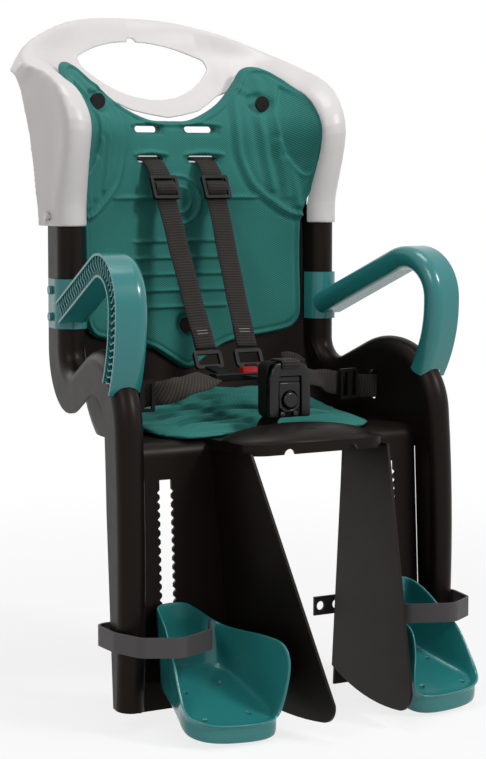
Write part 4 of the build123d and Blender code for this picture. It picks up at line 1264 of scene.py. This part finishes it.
    def cut_slots(self, pad: bpy.types.Object) -> None:
        """Cuts the four strap slots through the pad.

        Args:
            pad: The pad.
        """
        radius = self.slot_size[1] / 2
        reach = self.slot_size[0] / 2 - radius
        turns = np.linspace(-math.pi / 2, math.pi / 2, self.slot_turns)
        right_end = np.column_stack([reach + radius * np.cos(turns), radius * np.sin(turns)])
        outline = np.vstack([right_end, -right_end])
        front, back = self.slot_span
        ends = [
            [np.insert(outline + (x, level), 1, depth, axis=1) for depth in (back, front)]
            for x in (-self.slot_x, self.slot_x)
            for level in self.slot_heights
        ]
        points, faces = bars(ends)
        cut_out(pad, mesh_piece("slot_cutter", points, faces, self.cloth))


@dataclass(frozen=True)
class SeatPad:
    """The seat pad: swollen by a cloth simulation, then embossed with wavy lines. Millimetres.

    A pair for a soft edge is its place and width.
    """

    cloth: bpy.types.Material
    voxel: float = 3.4
    rounds: int = 6
    frames: int = 14
    quality: int = 4
    pressure: float = 3.0
    cap: float = 2.2
    line_pitch: float = 19.0
    crest: Welt = Welt(4.2, 2.6)
    trough: Welt = Welt(-2.1, 2.6, 6.0)
    front: float = -88.0
    rear: Point2 = (58.0, 10.0)
    line_reach: Point2 = (96.0, 14.0)
    peak: Welt = Welt(9.0, 26.0)
    bow: float = 0.0009
    top_gain: float = 1.6
    top_loss: float = 0.5

    def build(self) -> bpy.types.Object:
        """Makes the pad from its CAD solid.

        Returns:
            The pad, riding on the seat in place of its plain solid.
        """
        pad = even_copy("seat_pad", "seat_pad_cloth", self.voxel, self.rounds)
        settle(pad)
        self.swell(pad)
        refine(pad)
        self.emboss(pad)
        pad.data.materials.clear()
        pad.data.materials.append(self.cloth)
        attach(pad, SEAT)
        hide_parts("seat_pad")
        log.info("built %s with %d faces", pad.name, len(pad.data.polygons))
        return pad

    def swell(self, pad: bpy.types.Object) -> None:
        """Swells the pad with air pressure, no point further than the cap or below its underside.

        Args:
            pad: The pad.
        """
        scene = bpy.context.scene
        rest = coordinates(pad.data)
        air = pad.modifiers.new("air", "CLOTH")
        air.settings.use_pressure = True
        air.settings.uniform_pressure_force = self.pressure
        air.settings.effector_weights.gravity = 0.0
        air.settings.quality = self.quality
        air.point_cache.frame_start = 1
        air.point_cache.frame_end = self.frames
        for number in range(1, self.frames + 1):
            scene.frame_set(number)
        settle(pad)
        scene.frame_set(1)
        way = coordinates(pad.data) - rest
        length = np.linalg.norm(way, axis=1, keepdims=True)
        places = rest + way * np.minimum(1.0, self.cap * MM / np.maximum(length, TINY))
        places[:, 2] = np.maximum(places[:, 2], rest[:, 2].min())
        pad.data.vertices.foreach_set("co", places.astype(np.float32).ravel())
        pad.data.update()

    def emboss(self, pad: bpy.types.Object) -> None:
        """Raises wavy lines across the pad's top.

        Args:
            pad: The pad.
        """
        places = coordinates(pad.data) / MM
        normals = np.zeros(places.size, np.float32)
        pad.data.vertex_normals.foreach_get("vector", normals)
        upward = normals.reshape(-1, 3)[:, 2]
        on_top = np.clip(upward * self.top_gain - self.top_loss, 0.0, 1.0)
        x, y = places[:, 0], places[:, 1]
        bend = self.peak.rise(x) - self.bow * x**2
        phase = (y - bend - self.front) / self.line_pitch
        near = np.abs(phase - np.round(phase)) * self.line_pitch
        reach, reach_width = self.line_reach
        rear, rear_width = self.rear
        extent = step(reach - np.abs(x), reach_width) * step(rear - y, rear_width)
        places[:, 2] += (self.crest.rise(near) + self.trough.rise(near)) * extent * on_top
        pad.data.vertices.foreach_set("co", (places * MM).astype(np.float32).ravel())
        pad.data.update()


@dataclass(frozen=True)
class Ribbon:
    """A length of flat webbing with rounded selvedges along a route. Millimetres."""

    name: str
    route: tuple[Point3, ...]
    across: tuple[Point3, ...]
    material: bpy.types.Material
    width: float = 25.0
    thick: float = 1.6
    selvedge: float = 0.5
    selvedge_share: float = 0.35
    bend: float = 14.0
    bend_points: int = 9
    bend_limit: float = 0.48
    pace: float = 3.0
    ripple: float = 0.25
    ripple_turns: Point2 = (0.11, 0.047)
    ripple_start: float = 25.0
    cup: float = 0.35

    def line(self) -> tuple[np.ndarray, np.ndarray]:
        """The route with its corners eased, and the width's direction along it.

        Returns:
            The points and a unit vector across at each.
        """
        knots = np.asarray(self.route, float)
        ways = np.asarray(self.across, float)
        points, vectors = [knots[0]], [ways[0]]
        for number in range(1, len(knots) - 1):
            before, here, after = knots[number - 1], knots[number], knots[number + 1]
            back, ahead = before - here, after - here
            back_length, ahead_length = np.linalg.norm(back), np.linalg.norm(ahead)
            room = min(self.bend, self.bend_limit * back_length, self.bend_limit * ahead_length)
            start = here + back / back_length * room
            end = here + ahead / ahead_length * room
            for share in np.linspace(0.0, 1.0, self.bend_points):
                points.append((1 - share) ** 2 * start + 2 * share * (1 - share) * here + share**2 * end)
                vectors.append(ways[number])
        points.append(knots[-1])
        vectors.append(ways[-1])
        along = run_lengths(np.array(points))
        wanted = np.linspace(0.0, along[-1], max(3, int(along[-1] / self.pace)))
        path = spaced(np.array(points), along, wanted)
        wide = spaced(np.array(vectors), along, wanted)
        return path, wide / np.linalg.norm(wide, axis=1, keepdims=True)

    def section(self) -> list[Point2]:
        """The strap's section, round from one selvedge.

        Returns:
            Places across and out.
        """
        half, deep = self.width / 2, self.thick / 2
        thin = deep * self.selvedge_share
        upper = [(-half, thin), (-half + self.selvedge, deep), (-half / 2, deep), (0.0, deep)]
        upper += [(-w, d) for w, d in reversed(upper[:-1])]
        return upper + [(w, -d) for w, d in reversed(upper)]

    def build(self, finish: Finish, *replaced: str) -> bpy.types.Object:
        """Makes the strap.

        Args:
            finish: Its slot in the record. It is not used.
            replaced: CAD nodes that it stands for.

        Returns:
            The strap, riding on the seat.
        """
        path, wide = self.line()
        ahead = np.gradient(path, axis=0)
        ahead /= np.linalg.norm(ahead, axis=1, keepdims=True)
        wide -= ahead * np.sum(wide * ahead, axis=1, keepdims=True)
        wide /= np.linalg.norm(wide, axis=1, keepdims=True)
        out = np.cross(wide, ahead)
        half = self.width / 2
        section = self.section()
        along = run_lengths(path)
        quick, slow = self.ripple_turns
        wander = self.ripple * (np.sin(along * quick) + np.sin(along * slow + 1.0))
        wander *= np.minimum(1.0, np.minimum(along, along[-1] - along) / self.ripple_start)
        points, lay = [], []
        for place, way, normal, shift, length in zip(path, wide, out, wander, along):
            for w, d in section:
                cup = self.cup * (w / half) ** 2 * shift
                points.append(place + way * w + normal * (d + shift + cup))
                lay.append((length * MM, (w + half) * MM))
        faces = tube_faces(len(path), len(section))
        strap = mesh_piece(self.name, np.array(points), faces, self.material)
        layer = strap.data.uv_layers.new(name=STRAP_MAP)
        for loop in strap.data.loops:
            layer.data[loop.index].uv = lay[loop.vertex_index]
        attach(strap, SEAT)
        if replaced:
            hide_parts(*replaced)
        log.info("built %s, %.0f mm long", strap.name, along[-1])
        return strap


@dataclass(frozen=True)
class Harness:
    """The webbing: shoulder, lap and crotch straps, their sewn ends and stitches. Millimetres.

    Routes are those of the right side. Slide marks are places along a slide and how far out the webbing lies.
    """

    wardrobe: Wardrobe
    shoulder: tuple[Point3, ...] = (
        (33.5, 111.55, 306.5), (33.5, 95.0, 306.0), (33.0, 80.5, 294.0), (25.7, -5.0, 104.0),
    )
    shoulder_bend: float = 16.0
    lap: tuple[Point3, ...] = (
        (170.0, -47.0, 59.4), (150.0, -46.0, 59.9), (141.0, -41.0, 61.6), (114.0, -45.5, 65.6),
        (104.0, -56.0, 67.0), (70.0, -60.0, 76.0), (45.0, -51.0, 79.0),
    )
    lap_across: tuple[Point3, ...] = (
        (0.0, 0.0, 1.0), (0.0, 0.0, 1.0), (0.0, 0.0, 1.0), (0.0, 0.0, 1.0), (0.0, 0.1, 1.0),
        (0.0, 0.75, 0.7), (0.1, 1.0, 0.25),
    )
    lap_bend: float = 12.0
    crotch: tuple[Point3, ...] = (
        (0.0, -85.0, 8.0), (0.0, -85.0, 34.0), (0.0, -106.7, 46.0), (0.0, -106.7, 70.0),
    )
    crotch_bend: float = 8.0
    wrap: tuple[Point3, ...] = (
        (0.0, -106.7, 90.0), (0.0, -106.7, 101.3), (0.0, -131.6, 101.3), (0.0, -131.6, 92.5),
    )
    wrap_width: float = 22.0
    wrap_bend: float = 1.6
    tail: tuple[Point3, ...] = (
        (6.0, -105.0, 98.0), (16.0, -104.0, 98.5), (26.0, -101.0, 95.0), (34.0, -97.0, 90.0),
    )
    tail_across: tuple[Point3, ...] = (
        (-0.2, 0.1, 1.0), (-0.1, 0.1, 1.0), (0.3, 0.0, 1.0), (0.7, 0.0, 0.8),
    )
    tail_width: float = 19.0
    tail_bend: float = 6.0
    slide_start: float = 8.0
    slide_length: float = 27.0
    slide_marks: tuple[Point2, ...] = (
        (-8.0, 1.2), (-5.8, 4.4), (-2.5, 6.4), (2.5, 6.4), (5.8, 4.4), (8.0, 1.2),
    )
    slide_width: float = 24.6
    slide_bend: float = 2.0
    slide_pace: float = 1.0
    fold_lift: float = 1.75
    fold_start: float = 1.0
    fold_end: float = 26.0
    fold_width: float = 24.4
    stitch_rows: tuple[float, ...] = (20.0, 16.8)
    stitches: int = 7
    stitch_pitch: float = 1.9
    stitch_half: float = 0.75
    stitch_section: tuple[Point2, ...] = ((-0.45, 0.6), (0.45, 0.6), (0.45, 1.35), (-0.45, 1.35))

    @staticmethod
    def on_side(points: Iterable[Point3], side: float) -> tuple[Point3, ...]:
        """Points of the right side as points of either side."""
        return tuple((side * x, y, z) for x, y, z in points)

    def build(self) -> None:
        """Makes every strap."""
        webbing = self.wardrobe.of(Finish.WEBBING)
        level = (SIDEWAYS,) * 4
        for name, side in SIDES.items():
            route = self.on_side(self.shoulder, side)
            Ribbon(f"shoulder_webbing_{name}", route, level, webbing, bend=self.shoulder_bend).build(
                Finish.WEBBING, f"shoulder_strap_{name}"
            )
            self.sew(name, route)
            self.thread_slide(name, route)
            route, across = self.on_side(self.lap, side), self.on_side(self.lap_across, side)
            # Painted shade: the right lap strap takes the darker shoulder webbing in place of the lighter lap
            # twill, standing in for the shade it lies in beside the buckle.
            lap = self.wardrobe.lap if name == "left" else webbing
            Ribbon(f"lap_webbing_{name}", route, across, lap, bend=self.lap_bend).build(
                Finish.WEBBING, f"lap_strap_{name}"
            )
        Ribbon("crotch_webbing", self.crotch, level, webbing, bend=self.crotch_bend).build(
            Finish.WEBBING, "crotch_strap"
        )
        Ribbon(
            "crotch_webbing_wrap", self.wrap, level, webbing, width=self.wrap_width, bend=self.wrap_bend,
            ripple=0.0,
        ).build(Finish.WEBBING)
        Ribbon(
            "crotch_webbing_tail", self.tail, self.tail_across, webbing, width=self.tail_width,
            bend=self.tail_bend, ripple=0.0,
        ).build(Finish.WEBBING)

    @staticmethod
    def directions(route: tuple[Point3, ...]) -> tuple[np.ndarray, np.ndarray, np.ndarray]:
        """The directions of a shoulder strap's long run.

        Args:
            route: The strap's route.

        Returns:
            Unit vectors down the strap, across it and out of its front.
        """
        down = np.array(route[-1]) - np.array(route[-2])
        down /= np.linalg.norm(down)
        wide = np.array(SIDEWAYS) - down * down[0]
        wide /= np.linalg.norm(wide)
        out = np.cross(wide, down)
        return down, wide, out * -np.sign(out[1])

    def thread_slide(self, name: str, route: tuple[Point3, ...]) -> None:
        """Lays the webbing over a shoulder slide's middle bar, from its upper slot to its lower one.

        Args:
            name: The strap's side.
            route: The strap's route.
        """
        down, _, out = self.directions(route)
        middle = np.array(route[-2]) + down * (self.slide_start + self.slide_length / 2)
        over = tuple(tuple(middle + down * along + out * lift) for along, lift in self.slide_marks)
        Ribbon(
            f"shoulder_slide_webbing_{name}", over, (SIDEWAYS,) * len(over), self.wardrobe.of(Finish.WEBBING),
            width=self.slide_width, bend=self.slide_bend, pace=self.slide_pace, ripple=0.0,
        ).build(Finish.WEBBING)

    def sew(self, name: str, route: tuple[Point3, ...]) -> None:
        """Puts the sewn-back end and its stitches on a shoulder strap.

        Args:
            name: The strap's side.
            route: The strap's route.
        """
        down, wide, out = self.directions(route)
        foot = np.array(route[-1]) + out * self.fold_lift
        start, end = foot - down * self.fold_start, foot - down * self.fold_end
        Ribbon(
            f"shoulder_fold_{name}", (tuple(start), tuple(end)), (tuple(wide),) * 2,
            self.wardrobe.of(Finish.WEBBING), width=self.fold_width, ripple=0.0,
        ).build(Finish.WEBBING)
        ends = []
        for row in self.stitch_rows:
            for number in range(self.stitches):
                across = (number - (self.stitches - 1) / 2) * self.stitch_pitch
                middle = start - down * row + wide * across
                section = [middle - down * along + out * lift for along, lift in self.stitch_section]
                ends.append([[place + wide * half for place in section] for half in self.stitch_ends()])
        points, faces = bars(ends)
        stitch = mesh_piece(f"shoulder_stitch_{name}", points, faces, self.wardrobe.thread)
        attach(stitch, SEAT)

    def stitch_ends(self) -> Point2:
        """Where a stitch starts and ends, from its middle."""
        return -self.stitch_half, self.stitch_half


@dataclass(frozen=True)
class BuckleCover:
    """The buckle's front: a frame with round shoulders, and the latch plate in its window. Millimetres.

    Outlines are right halves, listed from the bottom up.
    """

    material: bpy.types.Material
    back: float = -124.5
    front: float = -130.5
    frame_outline: tuple[Point2, ...] = (
        (24.5, 42.5), (25.0, 50.0), (24.6, 72.0), (23.6, 84.0), (21.0, 92.5), (16.0, 97.6), (8.0, 99.6),
    )
    window: tuple[Point2, ...] = ((13.8, 36.0), (13.8, 83.0), (12.8, 84.6))
    window_floor: float = 1.4
    latch: tuple[Point2, ...] = ((7.5, 47.2), (12.6, 52.5), (12.9, 76.0), (12.0, 78.6))
    latch_front: float = -129.4
    feet_across: Point2 = (5.0, 11.0)
    feet_heights: Point2 = (42.6, 48.5)
    button_place: Point2 = (0.0, 60.0)
    button_room: float = 9.6
    button_sides: int = 28
    overrun: float = 5.0
    bevel: float = 1.3
    bevel_steps: int = 3
    bevel_from: float = math.radians(35.0)
    sharp_from: float = math.radians(32.0)

    @staticmethod
    def both(half: Sequence[Point2]) -> list[Point2]:
        """A closed outline from its right half, listed from the bottom up."""
        return [*half, *((-x, z) for x, z in reversed(half))]

    def slab(self, name: str, outline: Sequence[Point2], front: float, back: float) -> bpy.types.Object:
        """A plate of that outline between two depths.

        Args:
            name: The piece's name.
            outline: Its corners across and up, turning left.
            front: The depth of its front.
            back: The depth of its back.

        Returns:
            The plate.
        """
        points, faces = bars([[[(x, depth, z) for x, z in outline] for depth in (back, front)]])
        return mesh_piece(name, points, faces, self.material)

    def ease(self, piece: bpy.types.Object) -> None:
        """Rounds a piece's edges.

        Args:
            piece: The piece.
        """
        edge = piece.modifiers.new("edges", "BEVEL")
        edge.width = self.bevel * MM
        edge.segments = self.bevel_steps
        edge.limit_method = "ANGLE"
        edge.angle_limit = self.bevel_from
        settle(piece)
        piece.data.set_sharp_from_angle(angle=self.sharp_from)

    def build(self) -> None:
        """Makes the frame, the latch plate and its two feet."""
        ahead = self.front - self.overrun
        cover = self.slab("buckle_cover_frame", self.both(self.frame_outline), self.front, self.back)
        floor = self.back - self.window_floor
        cut_out(cover, self.slab("window_tool", self.both(self.window), ahead, floor))
        plate = self.slab("buckle_cover_latch", self.both(self.latch), self.latch_front, self.back)
        turns = np.linspace(0.0, math.tau, self.button_sides, endpoint=False)
        x, z = self.button_place
        ring = [(x + self.button_room * math.cos(a), z + self.button_room * math.sin(a)) for a in turns]
        cut_out(plate, self.slab("button_tool", ring, ahead, self.back + self.overrun))
        pieces = [cover, plate]
        low, high = self.feet_heights
        for name, side in SIDES.items():
            left, right = sorted(side * x for x in self.feet_across)
            corners = ((left, low), (right, low), (right, high), (left, high))
            pieces.append(self.slab(f"buckle_cover_foot_{name}", corners, self.latch_front, self.back))
        for piece in pieces:
            self.ease(piece)
        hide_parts("buckle_cover")
        for piece in pieces:
            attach(piece, SEAT)
            log.info("built %s", piece.name)


@dataclass(frozen=True)
class Softbox:
    """A square lamp that looks at the seat. Metres and watts."""

    name: str
    place: Point3
    power: float
    size: float
    aim: Point3 = (0.0, 0.0, 0.1)

    def build(self) -> None:
        """Adds the lamp."""
        light = bpy.data.lights.new(self.name, "AREA")
        light.energy = self.power
        light.size = self.size
        lamp = bpy.data.objects.new(self.name, light)
        lamp.location = self.place
        way = Vector(self.aim) - Vector(self.place)
        lamp.rotation_euler = way.to_track_quat("-Z", "Y").to_euler()
        bpy.context.scene.collection.objects.link(lamp)


@dataclass(frozen=True)
class Studio:
    """Camera at the photograph's place, soft lights and a pale floor. Metres."""

    place: Point3 = (-1.2449, -2.0311, 0.2986)
    pitch: float = math.radians(5.46)
    turn: float = math.radians(-32.0)
    lens: float = 105.85
    sensor: float = 36.0
    sight: float = 50.0
    lamps: tuple[Softbox, ...] = (
        Softbox("key_softbox", (1.05, -2.0, 1.7), 37.0, 0.5),
        Softbox("side_softbox", (-1.9, -1.2, 1.7), 17.0, 0.9),
        Softbox("top_softbox", (0.0, -0.1, 2.2), 17.0, 0.9),
        Softbox("back_softbox", (-0.9, 2.2, 1.2), 10.0, 1.2),
    )
    ambient: float = 0.14
    floor_gap: float = 0.001
    floor_size: float = 60.0
    floor_colour: Colour = (0.86, 0.86, 0.86, 1.0)
    floor_rough: float = 0.9
    shadow_reach: Point2 = (0.45, 1.6)
    floor_glow: Point2 = (0.8, 1.0)

    def build(self) -> None:
        """Sets the camera, lights, world and floor."""
        scene = bpy.context.scene
        scene.view_settings.view_transform = "Standard"
        camera = bpy.data.objects.new("camera", bpy.data.cameras.new("camera"))
        camera.location = self.place
        camera.rotation_euler = (math.pi / 2 - self.pitch, 0.0, self.turn)
        camera.data.lens = self.lens
        camera.data.sensor_width = self.sensor
        camera.data.clip_end = self.sight
        scene.collection.objects.link(camera)
        scene.camera = camera
        for lamp in self.lamps:
            lamp.build()
        self.sky()
        self.floor()

    def sky(self) -> None:
        """A soft grey world that the camera sees as white."""
        world = bpy.data.worlds.new("studio")
        world.use_nodes = True
        bpy.context.scene.world = world
        nodes, links = world.node_tree.nodes, world.node_tree.links
        soft = nodes["Background"]
        soft.inputs["Color"].default_value = WHITE
        soft.inputs["Strength"].default_value = self.ambient
        white = nodes.new("ShaderNodeBackground")
        white.inputs["Color"].default_value = WHITE
        mix = nodes.new("ShaderNodeMixShader")
        links.new(self.seen(world.node_tree), mix.inputs[0])
        links.new(soft.outputs[0], mix.inputs[1])
        links.new(white.outputs[0], mix.inputs[2])
        links.new(mix.outputs[0], nodes["World Output"].inputs["Surface"])

    @staticmethod
    def seen(tree: bpy.types.NodeTree) -> bpy.types.NodeSocket:
        """A value of 1 for rays from the camera, a mirror or glass.

        Args:
            tree: The node tree that asks.

        Returns:
            The value's socket.
        """
        rays = tree.nodes.new("ShaderNodeLightPath")
        value = rays.outputs["Is Camera Ray"]
        for kind in ("Is Glossy Ray", "Is Transmission Ray"):
            either = tree.nodes.new("ShaderNodeMath")
            either.operation = "MAXIMUM"
            tree.links.new(value, either.inputs[0])
            tree.links.new(rays.outputs[kind], either.inputs[1])
            value = either.outputs[0]
        return value

    def floor(self) -> None:
        """A pale floor that keeps a faint shadow near the seat and fades to white."""
        low = CAD_BOX[0][2] - self.floor_gap
        half = self.floor_size / 2
        corners = [(-half, -half, low), (half, -half, low), (half, half, low), (-half, half, low)]
        mesh = bpy.data.meshes.new("floor")
        mesh.from_pydata(corners, [], [(0, 1, 2, 3)])
        floor = bpy.data.objects.new("floor", mesh)
        bpy.context.scene.collection.objects.link(floor)
        graph = Graph("floor_pale")
        graph.shader.inputs["Base Color"].default_value = self.floor_colour
        graph.shader.inputs["Roughness"].default_value = self.floor_rough
        glow = graph.add("ShaderNodeEmission")
        away = graph.add("ShaderNodeVectorMath", operation="LENGTH")
        graph.join(graph.place(), away.inputs[0])
        fade = graph.add("ShaderNodeMapRange", interpolation_type="SMOOTHSTEP")
        sockets = ("From Min", "From Max", "To Min", "To Max")
        for socket, value in zip(sockets, self.shadow_reach + self.floor_glow):
            fade.inputs[socket].default_value = value
        graph.join(away.outputs["Value"], fade.inputs["Value"])
        share = graph.add("ShaderNodeMath", operation="MULTIPLY")
        mix = graph.add("ShaderNodeMixShader")
        graph.join(self.seen(graph.tree), share.inputs[0])
        graph.join(fade.outputs["Result"], share.inputs[1])
        graph.join(share.outputs[0], mix.inputs[0])
        graph.join(graph.shader.outputs[0], mix.inputs[1])
        graph.join(glow.outputs[0], mix.inputs[2])
        graph.join(mix.outputs[0], graph.tree.nodes["Material Output"].inputs["Surface"])
        mesh.materials.append(graph.material)


def main() -> None:
    """Builds the seat's pieces in order."""
    logging.basicConfig(level=logging.INFO)
    Studio().build()
    wardrobe = Wardrobe()
    head_frame = SoftMoulding("head_frame", SEAT, Finish.FRAME)
    replaced = ("back_pad", "seat_pad", "crotch_strap", "buckle_cover", head_frame.node) + tuple(
        f"{stem}_{side}" for stem in ("shoulder_strap", "lap_strap", "footrest") for side in SIDES
    )
    Mouldings(wardrobe, replaced).dress()
    head_frame.build(wardrobe.of(head_frame.finish))
    for name, side in SIDES.items():
        FootScoop(wardrobe.of(Finish.TEAL)).build(name, side)
    BackPad(wardrobe.of(Finish.PAD)).build()
    SeatPad(wardrobe.of(Finish.PAD)).build()
    Harness(wardrobe).build()
    BuckleCover(wardrobe.gloss).build()


if __name__ == "__main__":
    main()
